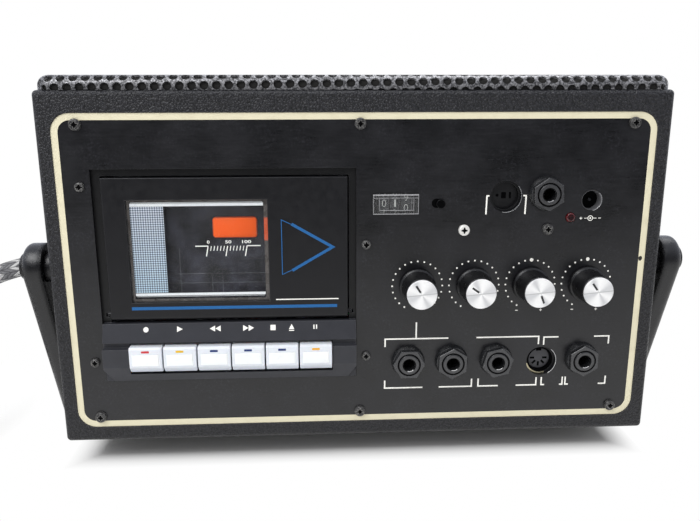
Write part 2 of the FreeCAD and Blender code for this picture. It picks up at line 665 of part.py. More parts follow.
def make_feet():
    """Short rubber feet in front and full-height ones behind."""
    feet = []
    for depth, height in ((FRONT_FOOT_D, FRONT_FOOT_H), (CASE_D - REAR_FOOT_INSET, STAND_H)):
        low = V(FOOT_X, at(depth), STAND_H - height)
        feet += both_sides(Part.makeCone(FOOT_R * FOOT_TAPER, FOOT_R, height, low, V(0, 0, 1)))
    save("feet", *feet)


def make_rear_cover():
    """Flat cover with ventilation slots and the mains inlet's opening, and the case's screws."""
    cover = rounded_block(-PANEL_HALF + GAP, PANEL_HALF - GAP, REAR_COVER_D, REAR_FACE_D,
                          PANEL_BOT + GAP, PANEL_TOP - GAP, PANEL_CORNER_R)
    rows = [PANEL_BOT + SLOT_UP + SLOT_PITCH * i for i in range(SLOT_ROWS)]
    slots = [block(x, x + SLOT_W, REAR_COVER_D - PAST, CASE_D, z, z + SLOT_H) for x in SLOT_XS for z in rows]
    holes = [rod(x, z, SCREW_R + SCREW_FIT, REAR_COVER_D - PAST, CASE_D) for x, z in panel_screw_places()]
    opening = block(INLET_X0, INLET_X0 + INLET_W, REAR_COVER_D - PAST, CASE_D, INLET_Z0, INLET_Z0 + INLET_H)
    save("rear_cover", cut(cover, opening, *slots, *holes))

    screws = [join(rod(x, z, SCREW_R, REAR_FACE_D - SCREW_LEN, REAR_FACE_D),
                   rod(x, z, SCREW_HEAD_R, REAR_FACE_D, REAR_FACE_D + REAR_HEAD_T))
              for x, z in panel_screw_places()]
    under = PANEL_TOP - BASKET_RIM_T
    screws += [join(rod_z(x, d, SPEAKER_SCREW_R, under, PANEL_TOP + SPEAKER_SCREW_LEN),
                    rod_z(x, d, SCREW_HEAD_R, under - SCREW_HEAD_T, under))
               for x, d in speaker_screw_places()]
    save("case_screws", *screws)


def make_mains_inlet():
    """Two-pin appliance inlet that takes a plug-in lead."""
    x1, z1 = INLET_X0 + INLET_W, INLET_Z0 + INLET_H
    body = block(INLET_X0 + GAP, x1 - GAP, REAR_FACE_D - INLET_DEEP, REAR_FACE_D, INLET_Z0 + GAP, z1 - GAP)
    flange = block(INLET_X0 - INLET_LIP, x1 + INLET_LIP, REAR_COVER_D - INLET_LIP, REAR_COVER_D,
                   INLET_Z0 - INLET_LIP, z1 + INLET_LIP)
    pocket_end = REAR_FACE_D - INLET_DEEP + INLET_WALL
    pocket = block(INLET_X0 + INLET_WALL, x1 - INLET_WALL, pocket_end, REAR_FACE_D + PAST,
                   INLET_Z0 + INLET_WALL, z1 - INLET_WALL)
    middle, z = (INLET_X0 + x1) / 2, (INLET_Z0 + z1) / 2
    pins = [rod(middle + side * INLET_PIN_X, z, INLET_PIN_R, pocket_end - PAST, pocket_end + INLET_PIN_LEN)
            for side in (-1, 1)]
    save("mains_inlet", join(cut(join(body, flange), pocket), *pins))


# ---------------------------------------------------------------- panel
def round_places():
    """Every round opening in the panel as (x, z, radius)."""
    places = [(x, KNOB_Z, POT_BUSH_R + GAP) for x in KNOB_XS]
    places += [(x, z, JACK_BUSH_R + GAP) for x, z in JACKS]
    places += [TAPE_DIN + (DIN_R,), SPEAKER_DIN + (DIN_R,), SUPPLY + (SUPPLY_R + GAP,)]
    places += [LAMP + (LAMP_R + GAP,), RESET + (RESET_R + RESET_FIT,)]
    places += [(x, z, SCREW_R + SCREW_FIT) for x, z in front_screw_places()]
    return places


def make_panel():
    """Flat steel panel with openings for all that comes through it."""
    plate = rounded_block(-PANEL_HALF + GAP, PANEL_HALF - GAP, PANEL_SINK, PANEL_BACK,
                          PANEL_BOT + GAP, PANEL_TOP - GAP, PANEL_CORNER_R - GAP)
    through = (PANEL_SINK - PAST, PANEL_BACK + PAST)
    deck = block(DECK_X0, DECK_X1, *through, DECK_Z0, DECK_Z1)
    counter = block(COUNTER_X0, COUNTER_X1, *through, COUNTER_Z0, COUNTER_Z1)
    holes = [rod(x, z, r, *through) for x, z, r in round_places()]
    save("front_panel", cut(plate, deck, counter, *holes))


def make_front_screws():
    """Pan-headed cross-recess screws of the panel, the deck and the socket board."""
    screws = []
    face = PANEL_SINK - SCREW_HEAD_T
    small = deck_screw_places()
    for x, z in front_screw_places():
        head = rod(x, z, DECK_HEAD_R if (x, z) in small else SCREW_HEAD_R, face, PANEL_SINK)
        head = head.makeFillet(SCREW_HEAD_EDGE_R, edges_at(head, face)[:1])
        arms = [block(x - w, x + w, face - PAST, face + RECESS_DEEP, z - h, z + h)
                for w, h in ((RECESS_HALF, RECESS_W), (RECESS_W, RECESS_HALF))]
        shank = rod(x, z, SCREW_R, PANEL_SINK, PANEL_SINK + SCREW_LEN)
        screws.append(cut(join(head, shank), *arms))
    save("front_screws", *screws)


# ---------------------------------------------------------------- deck
def make_bezel():
    """Moulded deck front: door frame, sloping label strip, key surround and well walls."""
    x0, x1 = DECK_X0 + GAP, DECK_X1 - GAP
    z0, z1 = DECK_Z0 + GAP, DECK_Z1 - GAP
    strip_top = DOOR_Z0 - DOOR_UNDER
    strip_low = strip_top - STRIP_H
    ledge = -STRIP_RISE + STRIP_LEDGE
    cheek_low = KEY_Z0 + CHEEK_UP
    profile = [(DOOR_SINK, z1), (DOOR_SINK, strip_top), (-TOUCH, strip_top), (-STRIP_RISE, strip_low),
               (ledge, strip_low - STRIP_DRAFT), (ledge, strip_low - STRIP_BAND + STRIP_DRAFT),
               (-CHEEK_PROUD, strip_low - STRIP_BAND), (-CHEEK_PROUD, cheek_low), (-TOUCH, z0),
               (BEZEL_BACK, z0), (BEZEL_BACK, z1)]
    front = across_x(profile, x0, x1)
    for end, out in ((x0, PAST), (x1, -PAST)):
        outer = end - out
        corner = [V(x, at(-CHEEK_PROUD - PAST), z) for x, z in
                  ((outer, z0 - PAST), (outer, cheek_low), (end + out * CHEEK_CUT, z0 - PAST))]
        wedge = Part.Face(Part.makePolygon(corner + corner[:1])).extrude(V(0, CHEEK_PROUD + PAST, 0))
        front = front.cut(wedge)
    behind = (PANEL_BACK + GAP, BEZEL_BACK)
    flange = block(DECK_X0 - FLANGE_LAP, DECK_X1 + FLANGE_LAP, *behind,
                   DECK_Z0 - FLANGE_LAP, DECK_Z1 + FLANGE_LAP)
    spans = ((DECK_X0 - FLANGE, DECK_X0), (DECK_X1, DECK_X1 + FLANGE)) * 2
    lugs = [block(a, b, *behind, z - LUG_HALF, z + LUG_HALF)
            for (_, z), (a, b) in zip(deck_screw_places(), spans)]
    body = join(front, flange, *lugs)

    well_x0, well_x1, well_z1 = DOOR_X0 - DOOR_PLAY, DOOR_X1 + DOOR_PLAY, DOOR_Z1 + DOOR_PLAY
    through = (-CHEEK_PROUD - PAST, BEZEL_BACK + PAST)
    door = block(well_x0, well_x1, *through, strip_top, well_z1)
    keys = block(KEY_X0 - KEY_SIDE_GAP, KEY_X1 - KEY_GAP + KEY_SIDE_GAP, *through,
                 KEY_Z0 - SURROUND_GAP[0], KEY_Z1 + SURROUND_GAP[1])
    screws = [rod(x, z, SCREW_R + SCREW_FIT, *through) for x, z in deck_screw_places()]
    body = cut(body, door, keys, *screws)

    out_x0, out_x1 = well_x0 - WELL_T, well_x1 + WELL_T
    walls = [block(out_x0, well_x0, BEZEL_BACK, CHASSIS_D, DOOR_Z0, well_z1 + WELL_T),
             block(well_x1, out_x1, BEZEL_BACK, CHASSIS_D, DOOR_Z0, well_z1 + WELL_T),
             block(out_x0, out_x1, BEZEL_BACK, CHASSIS_D, well_z1, well_z1 + WELL_T)]
    hinge = rod_x(HINGE_D, HINGE_Z, HINGE_R + HINGE_FIT, out_x0 - PAST, out_x1 + PAST)
    save("deck_bezel", cut(join(body, *walls), hinge))


def make_door():
    """Door frame with hinge pins, its clear window, and the cassette holder behind it."""
    frame = block(DOOR_X0, DOOR_X1, 0, DOOR_T, DOOR_Z0, DOOR_Z1)
    low = [e for e in edges_at(frame, 0) if abs(e.CenterOfMass.z - DOOR_Z0) < 0.01]
    frame = frame.makeFillet(DOOR_EDGE_R, low)
    ears = [block(x, x + EAR_W, DOOR_T, DOOR_T + EAR_DEEP, DOOR_Z0 + EAR_UP[0], DOOR_Z0 + EAR_UP[1])
            for x in (DOOR_X0, DOOR_X1 - EAR_W)]
    reach = DOOR_PLAY + WELL_T
    pins = [rod_x(HINGE_D, HINGE_Z, HINGE_R, DOOR_X0 - reach, DOOR_X0 + PIN_IN_DOOR),
            rod_x(HINGE_D, HINGE_Z, HINGE_R, DOOR_X1 - PIN_IN_DOOR, DOOR_X1 + reach)]
    frame = frame.cut(block(WINDOW_X0, WINDOW_X1, -PAST, DOOR_T + PAST, WINDOW_Z0, WINDOW_Z1))
    rims = [e for e in frame.Edges if abs(e.BoundBox.YMax - at(0)) < 0.01
            and e.CenterOfMass.z > DOOR_Z0 + DOOR_EDGE_R + PAST]
    frame = frame.makeFillet(DOOR_RIM_R, rims)
    save("cassette_door", join(frame, *ears, *pins))

    def window_block(inset, d0, d1):
        return block(WINDOW_X0 + inset, WINDOW_X1 - inset, d0, d1, WINDOW_Z0 + inset, WINDOW_Z1 - inset)

    pane = window_block(WINDOW_FIT, WINDOW_SINK, WINDOW_SINK + WINDOW_T)
    skirt = cut(window_block(WINDOW_FIT, WINDOW_SINK, HOLDER_D),
                window_block(WINDOW_FIT + SKIRT_T, 0, HOLDER_D + PAST))
    save("door_window", join(pane, skirt))


def make_holder():
    """Tray on the back of the door that takes the cassette from above."""
    half = CASSETTE_W / 2 + CASSETTE_PLAY
    x0, x1 = DOOR_MID - half - HOLDER_SIDE_T, DOOR_MID + half + HOLDER_SIDE_T
    z0, z1 = CASSETTE_Z0 - HOLDER_LOW, DOOR_Z1 - HOLDER_DOWN
    front, back = HOLDER_D + HOLDER_T, HOLDER_BACK + HOLDER_T
    card = block(x0, x1, HOLDER_D, front, z0, z1)
    sides = [block(x, x + HOLDER_SIDE_T, front, back, z0, z1) for x in (x0, x1 - HOLDER_SIDE_T)]
    lip = HOLDER_SIDE_T + HOLDER_LIP
    lips = [block(x, x + lip, HOLDER_BACK, back, z0, z1) for x in (x0, x1 - lip)]
    shelves = [block(x, x + HOLDER_SHELF_W, front, back, z0, CASSETTE_Z0 - TOUCH)
               for x in (x0, x1 - HOLDER_SHELF_W)]
    posts = [block(x, x + POST_W, DOOR_T, HOLDER_D, z, z + POST_W)
             for x in (x0 + POST_OUT, WINDOW_X1 + POST_OUT)
             for z in (WINDOW_Z0 - POST_LOW, WINDOW_Z1 + POST_W / 2)]
    tab = rounded_block(WINDOW_X0 + TAB_RIGHT[0], WINDOW_X0 + TAB_RIGHT[1], HOLDER_D - TAB_PROUD, HOLDER_D,
                        WINDOW_Z0 + TAB_UP[0], WINDOW_Z0 + TAB_UP[1], TAB_CORNER_R)
    save("cassette_holder", join(card, tab, *sides, *lips, *shelves, *posts))


def make_chassis():
    """Steel deck chassis with its pillars, key shaft and bearing holes."""
    plate = block(DECK_X0 - FLANGE, DECK_X1 + FLANGE, CHASSIS_D, CHASSIS_BACK,
                  DECK_Z0 - FLANGE_LAP, DECK_Z1 + FLANGE_LAP)
    pillars = [cut(rod(x, z, PILLAR_R, BEZEL_BACK, CHASSIS_D),
                   rod(x, z, SCREW_R, BEZEL_BACK - PAST, PANEL_SINK + SCREW_LEN + PAST))
               for x, z in deck_screw_places()]
    head_plate = block(DOOR_MID - HEAD_PLATE_HALF, DOOR_MID + HEAD_PLATE_HALF, BEHIND_TRAY,
                       BEHIND_TRAY + HEAD_PLATE_T, DOOR_Z0 - HEAD_DROP, CASSETTE_Z0 - HOLDER_LOW - 2 * GAP)
    inside_plate = BEHIND_TRAY + HEAD_PLATE_T / 2
    studs = [rod(DOOR_MID + side * HEAD_STUD_X, DOOR_Z0 - HEAD_DROP / 2, HEAD_STUD_R, inside_plate, CHASSIS_D)
             for side in (-1, 1)]
    roller_pin = rod(*ROLLER, ROLLER_PIN_R, ROLLER_D - ROLLER_END, inside_plate)
    ends = [block(x, x + SHAFT_PLATE_T, KEY_SHAFT_D - SHAFT_PLATE_HALF, CHASSIS_D,
                  KEY_SHAFT_Z - SHAFT_PLATE_HALF, KEY_SHAFT_Z + SHAFT_PLATE_HALF) for x in SHAFT_PLATE_XS]
    motor_studs = [rod(MOTOR[0] + side * MOTOR_STUD_X, MOTOR[1], MOTOR_STUD_R, CHASSIS_BACK, MOTOR_FACE)
                   for side in (-1, 1)]
    through = (CHASSIS_D - PAST, CHASSIS_BACK + PAST)
    holes = [rod(x, SPINDLE_Z, SPINDLE_R + SPINDLE_FIT, *through) for x in SPINDLE_XS]
    holes.append(rod(*CAPSTAN, CAPSTAN_R + SPINDLE_FIT, *through))
    shaft_span = (SHAFT_PLATE_XS[0] - SHAFT_END, SHAFT_PLATE_XS[1] + SHAFT_PLATE_T + SHAFT_END)
    shaft = rod_x(KEY_SHAFT_D, KEY_SHAFT_Z, KEY_SHAFT_R, *shaft_span)
    whole = join(plate, head_plate, roller_pin, *studs, *pillars, *ends, *motor_studs)
    save("deck_chassis", cut(whole, shaft, *holes))
    save("key_shaft", shaft)


def make_keys():
    """Six lever keys on one shaft."""
    face = -KEY_PROUD
    for i, name in enumerate(KEY_NAMES):
        x0 = KEY_X0 + KEY_PITCH * i
        x1 = x0 + KEY_PITCH - KEY_GAP
        arm_x0, arm_x1 = (x0 + x1 - KEY_ARM_W) / 2, (x0 + x1 + KEY_ARM_W) / 2
        cap = across_x([(face, KEY_Z0 + 3.0), (face, KEY_Z1 - 1.2), (face + 1.0, KEY_Z1),
                        (KEY_CAP_BACK, KEY_Z1), (KEY_CAP_BACK, KEY_Z0 + 4.6), (face + 5.4, KEY_Z0 + 4.0),
                        (face + 4.4, KEY_Z0), (face + 2.2, KEY_Z0)], x0, x1)
        rims = [e for e in cap.Edges if e.BoundBox.YMin < at(0) - TOUCH]
        cap = cap.makeFillet(KEY_EDGE_R, rims)
        pad = block(x0 + KEY_PAD_INSET, x1 - KEY_PAD_INSET, face - KEY_PAD_T, face + PAST,
                    KEY_Z0 + KEY_PAD_UP[0], KEY_Z0 + KEY_PAD_UP[1])
        arm = block(arm_x0, arm_x1, KEY_CAP_BACK - PAST / 2, KEY_SHAFT_D,
                    KEY_Z0 + KEY_ARM_UP[0], KEY_Z0 + KEY_ARM_UP[1])
        boss = rod_x(KEY_SHAFT_D, KEY_SHAFT_Z, KEY_BOSS_R, arm_x0, arm_x1)
        bore = rod_x(KEY_SHAFT_D, KEY_SHAFT_Z, KEY_SHAFT_R + KEY_SHAFT_FIT, x0, x1)
        save("key_" + name, cut(join(cap, pad, arm, boss), bore))


def make_spindles():
    """Reel spindles with three drive fins each."""
    tip = HOLDER_D + HOLDER_T + SPINDLE_TIP
    for name, x in zip(("supply_spindle", "takeup_spindle"), SPINDLE_XS):
        shaft = rod(x, SPINDLE_Z, SPINDLE_R, BEHIND_TRAY, CHASSIS_BACK + CLIP_T)
        hub = rod(x, SPINDLE_Z, HUB_CORE_R, tip, BEHIND_TRAY + PAST)
        disc = rod(x, SPINDLE_Z, REEL_DISC_R, BEHIND_TRAY, BEHIND_TRAY + REEL_DISC_T)
        clip = rod(x, SPINDLE_Z, HUB_CORE_R, CHASSIS_BACK + TOUCH, CHASSIS_BACK + CLIP_T)
        fin = block(x - FIN_T / 2, x + FIN_T / 2, tip + FIN_BACK, BEHIND_TRAY + PAST,
                    SPINDLE_Z, SPINDLE_Z + FIN_REACH)
        fins = []
        for i in range(3):
            turned = fin.copy()
            turned.rotate(V(x, 0, SPINDLE_Z), V(0, 1, 0), 120 * i)
            fins.append(turned)
        save(name, join(shaft, hub, disc, clip, *fins))


def make_tape_path():
    """Head, pinch roller, capstan with flywheel, motor, its pulley and the belt."""
    head_top = CASSETTE_Z0 - HOLDER_LOW - PAST
    head = block(DOOR_MID - HEAD_W / 2, DOOR_MID + HEAD_W / 2, HOLDER_D + HOLDER_T + HEAD_IN, BEHIND_TRAY,
                 DOOR_Z0 - HEAD_DROP, head_top)
    upper = [e for e in head.Edges if abs(e.CenterOfMass.z - head_top) < 0.01
             and abs(e.tangentAt(e.FirstParameter).y) > 0.9]
    save("tape_head", head.makeFillet(HEAD_ROUND, upper))

    tyre = rod(*ROLLER, ROLLER_R, ROLLER_D, ROLLER_D + ROLLER_W)
    save("pinch_roller", cut(tyre, rod(*ROLLER, ROLLER_PIN_R + SPINDLE_FIT, 0, CHASSIS_D)))

    wheel_d = CHASSIS_BACK + FLYWHEEL_GAP
    shaft = rod(*CAPSTAN, CAPSTAN_R, HOLDER_D + HOLDER_T + SPINDLE_TIP, wheel_d + FLYWHEEL_T + CAPSTAN_END)
    save("capstan_flywheel", join(shaft, rod(*CAPSTAN, FLYWHEEL_R, wheel_d, wheel_d + FLYWHEEL_T)))

    can = join(rod(*MOTOR, MOTOR_R, MOTOR_FACE, MOTOR_FACE + MOTOR_LEN),
               rod(*MOTOR, MOTOR_BOSS_R, MOTOR_FACE - MOTOR_BOSS_T, MOTOR_FACE))
    save("motor", cut(can, rod(*MOTOR, MOTOR_SHAFT_R + SPINDLE_FIT, MOTOR_FACE - MOTOR_BOSS_T - PAST,
                               MOTOR_FACE + MOTOR_LEN - MOTOR_END)))
    belt_mid = wheel_d + FLYWHEEL_T / 2
    pulley = rod(*MOTOR, PULLEY_R, belt_mid - PULLEY_W / 2, belt_mid + PULLEY_W / 2)
    save("motor_pulley", join(pulley, rod(*MOTOR, MOTOR_SHAFT_R, belt_mid, MOTOR_FACE + MOTOR_SHAFT_IN)))

    belt_d = belt_mid - BELT_W / 2

    def loop(grow):
        face = tangent_face(CAPSTAN, MOTOR, FLYWHEEL_R + grow, PULLEY_R + grow,
                            lambda x, z: V(x, at(belt_d), z))
        return face.extrude(V(0, BELT_W, 0))

    save("drive_belt", loop(BELT_GAP + BELT_T).cut(loop(BELT_GAP)))


# ---------------------------------------------------------------- counter
def wheel_mid(i):
    """Middle of a digit wheel, counted from the left."""
    return (COUNTER_X0 + COUNTER_X1) / 2 + (i - 1) * WHEEL_PITCH


def make_counter():
    """Three digit wheels on a shaft in a case, behind a clear lens, and the reset button."""
    lens = block(COUNTER_X0 + WINDOW_FIT, COUNTER_X1 - WINDOW_FIT, -LENS_PROUD, COUNTER_LENS_T - LENS_PROUD,
                 COUNTER_Z0 + WINDOW_FIT, COUNTER_Z1 - WINDOW_FIT)
    save("counter_window", lens.makeFillet(LENS_EDGE_R, edges_at(lens, -LENS_PROUD)))

    half_h = WHEEL_R + COUNTER_ROOM + COUNTER_WALL
    case_x0, case_x1 = COUNTER_X0 - COUNTER_WALL, COUNTER_X1 + COUNTER_WALL
    case_back = WHEEL_D + half_h
    case = block(case_x0, case_x1, PANEL_BACK, case_back, COUNTER_Z - half_h, COUNTER_Z + half_h)
    room = block(COUNTER_X0, COUNTER_X1, PANEL_BACK - PAST, case_back - COUNTER_WALL,
                 COUNTER_Z - half_h + COUNTER_WALL, COUNTER_Z + half_h - COUNTER_WALL)
    shaft = rod_x(WHEEL_D, COUNTER_Z, WHEEL_SHAFT_R, case_x0 + COUNTER_WALL / 2, case_x1 - COUNTER_WALL / 2)
    save("counter_case", join(case.cut(room), shaft))

    for i, name in enumerate(("hundreds", "tens", "units")):
        x0, x1 = wheel_mid(i) - WHEEL_W / 2, wheel_mid(i) + WHEEL_W / 2
        bore = rod_x(WHEEL_D, COUNTER_Z, WHEEL_SHAFT_R + SPINDLE_FIT, x0, x1)
        save("wheel_" + name, rod_x(WHEEL_D, COUNTER_Z, WHEEL_R, x0, x1).cut(bore))

    stem = rod(*RESET, RESET_R, PANEL_SINK - RESET_PROUD, PANEL_BACK + RESET_IN)
    collar = rod(*RESET, RESET_R + RESET_COLLAR, PANEL_BACK + TOUCH, PANEL_BACK + TOUCH + RESET_COLLAR)
    save("reset_button", join(stem, collar))


# ---------------------------------------------------------------- knobs and sockets
def make_knobs():
    """Four knobs with spun caps on their shafts, and the potentiometers behind the panel."""
    face, skirt = PANEL_SINK - KNOB_REACH, PANEL_SINK - KNOB_SKIRT_GAP
    body_face = face + KNOB_CAP_T
    shaft_tip = PANEL_SINK - SHAFT_PROUD
    pots = []
    for name, x in zip(KNOB_NAMES, KNOB_XS):
        body = rod(x, KNOB_Z, KNOB_R, body_face, skirt)
        body = body.makeFillet(KNOB_EDGE_R, edges_at(body, body_face)[:1])
        hollow = rod(x, KNOB_Z, NUT_R + KNOB_NUT_ROOM, PANEL_SINK - 2 * NUT_T, skirt)
        bore = rod(x, KNOB_Z, SHAFT_R, shaft_tip, skirt)
        cap = rod(x, KNOB_Z, KNOB_CAP_R, face, body_face)
        shaft = rod(x, KNOB_Z, SHAFT_R, shaft_tip, PANEL_BACK + SHAFT_IN)
        save("knob_" + name, cut(body, hollow, bore), cap, shaft)

        can = rod(x, KNOB_Z, POT_R, PANEL_BACK, PANEL_BACK + POT_LEN)
        bush = rod(x, KNOB_Z, POT_BUSH_R, PANEL_SINK - NUT_T - BUSH_PROUD, PANEL_BACK)
        nut = hexagon(x, KNOB_Z, NUT_R, PANEL_SINK - NUT_T, PANEL_SINK)
        room = rod(x, KNOB_Z, SHAFT_R + SHAFT_FIT, PANEL_SINK - 2 * NUT_T, PANEL_BACK + SHAFT_IN + TOUCH)
        pots += [cut(join(can, bush), room), nut.cut(bush)]
    save("potentiometers", *pots)


def make_jacks():
    """Five jack sockets, each held by a washer and a hexagonal nut."""
    tip, nut_back = PANEL_SINK - JACK_NOSE, PANEL_SINK - WASHER_T
    body_end, half = PANEL_BACK + JACK_LEN, JACK_BODY / 2
    bodies, nuts = [], []
    for x, z in JACKS:
        nose = rod(x, z, JACK_BUSH_R, tip, PANEL_BACK)
        nose = nose.makeFillet(JACK_EDGE_R, edges_at(nose, tip)[:1])
        body = block(x - half, x + half, PANEL_BACK, body_end, z - half, z + half)
        bodies.append(cut(join(nose, body), rod(x, z, JACK_BORE_R, tip, body_end - JACK_END)))
        nuts += [rod(x, z, WASHER_R, nut_back, PANEL_SINK).cut(nose),
                 chamfered_nut(x, z, JACK_NUT_R, nut_back - JACK_NUT_T, nut_back).cut(nose)]
    save("jack_sockets", *bodies)
    save("jack_nuts", *nuts)


def din_socket(place, pin_angles, blade=False):
    """Round socket behind the panel; its insert has a hole for each pin and may have a blade's slot."""
    x, z = place
    shell = rod(x, z, DIN_R + DIN_RIM, PANEL_BACK, DIN_FACE_D + DIN_DEEP)
    mouth = rod(x, z, DIN_R - DIN_WALL, 0, DIN_FACE_D)
    around = [(x + DIN_PIN_CIRCLE_R * math.cos(math.radians(a)),
               z + DIN_PIN_CIRCLE_R * math.sin(math.radians(a))) for a in pin_angles]
    deep = (DIN_FACE_D - PAST, DIN_FACE_D + DIN_PIN_DEEP)
    holes = [rod(px, pz, DIN_PIN_R, *deep) for px, pz in around]
    if blade:
        half_w, half_h = DIN_BLADE_HALF
        holes.append(block(x - half_w, x + half_w, *deep, z - half_h, z + half_h))
    return cut(shell, mouth, *holes)


def make_small_sockets():
    """Tape and loudspeaker sockets, the low voltage socket and the power lamp."""
    save("din_sockets", din_socket(TAPE_DIN, (180, 225, 270, 315, 0)),
         din_socket(SPEAKER_DIN, (0, 180), blade=True))

    body_end = PANEL_BACK + SUPPLY_LEN
    body = join(rod(*SUPPLY, SUPPLY_R, PANEL_SINK, body_end),
                rod(*SUPPLY, SUPPLY_R + SUPPLY_RIM, PANEL_BACK, PANEL_BACK + SUPPLY_RIM))
    body = body.cut(rod(*SUPPLY, SUPPLY_BORE_R, PANEL_SINK, body_end - SUPPLY_END))
    pin = rod(*SUPPLY, SUPPLY_PIN_R, PANEL_SINK + SUPPLY_PIN_SINK, body_end - SUPPLY_RIM)
    save("supply_socket", join(body, pin))

    face = PANEL_SINK - LAMP_PROUD
    lamp = rod(*LAMP, LAMP_R, face, PANEL_BACK + LAMP_IN)
    lamp = lamp.makeFillet(LAMP_DOME_R, edges_at(lamp, face)[:1])
    save("power_lamp", join(lamp, rod(*LAMP, LAMP_R + LAMP_RIM, PANEL_BACK, PANEL_BACK + 2 * LAMP_RIM)))


# ---------------------------------------------------------------- top
def make_grille():
    """Shallow tray of perforated sheet, with staggered round holes in its top."""
    half, near, far = CASE_W / 2 - GRILLE_INSET, GRILLE_INSET, CASE_D - GRILLE_INSET
    low, high = FLOOR_TO_TOP, FLOOR_TO_TOP + GRILLE_RISE

    def tray(inset, top):
        shape = block(-half + inset, half - inset, near + inset, far - inset, low - PAST, top)
        upright = [e for e in shape.Edges if abs(e.tangentAt(e.FirstParameter).z) > 0.9]
        shape = shape.makeFillet(GRILLE_CORNER_R - inset, upright)
        rim = [e for e in shape.Edges if e.BoundBox.ZMin > top - 0.01]
        return shape.makeFillet(GRILLE_BEND_R - inset, rim)

    under = high - GRILLE_T
    below = block(-half, half, near, far, low - PAST, low)
    x0, x1, d0, d1 = -half + HOLE_EDGE, half - HOLE_EDGE, near + HOLE_EDGE, far - HOLE_EDGE
    field = block(x0, x1, d0, d1, under - PAST, high + PAST)
    shell = cut(tray(0.0, high), tray(GRILLE_T, under)).cut(below).cut(field)
    corners = [V(x, at(d), under) for x, d in ((x0, d0), (x1, d0), (x1, d1), (x0, d1))]
    outline = Part.makePolygon(corners + corners[:1])
    holes = [Part.Wire([Part.Circle(V(x, y, under), V(0, 0, 1), HOLE_R).toShape()])
             for x, y in hole_places(x0, x1, at(d0), at(d1))]
    sheet = Part.Face([outline] + holes)
    sheet.validate()
    save("speaker_grille", shell.fuse(sheet.extrude(V(0, 0, GRILLE_T))))


def hole_places(x0, x1, y0, y1):
    """Middles of the staggered holes that fit between the given edges."""
    row_step = HOLE_PITCH * math.sqrt(3) / 2
    room = HOLE_R + HOLE_ROOM
    columns = int((x1 - x0 - 2 * room) / HOLE_PITCH)
    rows = int((y1 - y0 - 2 * room) / row_step)
    start_x = (x0 + x1) / 2 - columns * HOLE_PITCH / 2
    start_y = (y0 + y1) / 2 - rows * row_step / 2
    places = []
    for row in range(rows + 1):
        odd = row % 2
        places += [(start_x + HOLE_PITCH * (i + odd / 2), start_y + row_step * row)
                   for i in range(columns + 1 - odd)]
    return places


def funnel(long_r, short_r, top, low_r, low):
    """Solid that narrows from an ellipse to a circle below it."""
    return Part.makeLoft([ellipse_wire(long_r, short_r, top), ellipse_wire(low_r, low_r - NEARLY, low)], True)


def make_speaker():
    """Elliptical loudspeaker under the top board: basket with magnet, and cone."""
    top = PANEL_TOP
    low = top - BASKET_DEPTH
    wall = BASKET_T
    outer = funnel(CONE_LONG, CONE_SHORT, top, MAGNET_R, low)
    inner = funnel(CONE_LONG - wall, CONE_SHORT - wall, top, MAGNET_R - wall, low + wall)
    rim = ellipse_plate(CONE_LONG + BASKET_RIM, CONE_SHORT + BASKET_RIM, top - BASKET_RIM_T, top)
    room = ellipse_plate(CONE_LONG - wall, CONE_SHORT - wall, top - BASKET_RIM_T, top)
    magnet = rod_z(0, SPEAKER_D, MAGNET_R, low - MAGNET_T, low)
    holes = [rod_z(x, d, SPEAKER_SCREW_R + SCREW_FIT, top - BASKET_RIM_T, top)
             for x, d in speaker_screw_places()]
    save("speaker_basket", cut(join(outer, rim), inner, room, *holes), magnet)

    cone_top, cone_low = top - CONE_SINK, low + VOICE_UP
    edge = 2 * CONE_GAP
    outside = funnel(CONE_LONG - edge, CONE_SHORT - edge, cone_top, VOICE_R, cone_low)
    inside = funnel(CONE_LONG - edge - CONE_T, CONE_SHORT - edge - CONE_T, cone_top,
                    VOICE_R - CONE_T, cone_low + CONE_SINK)
    save("speaker_cone", outside.cut(inside))


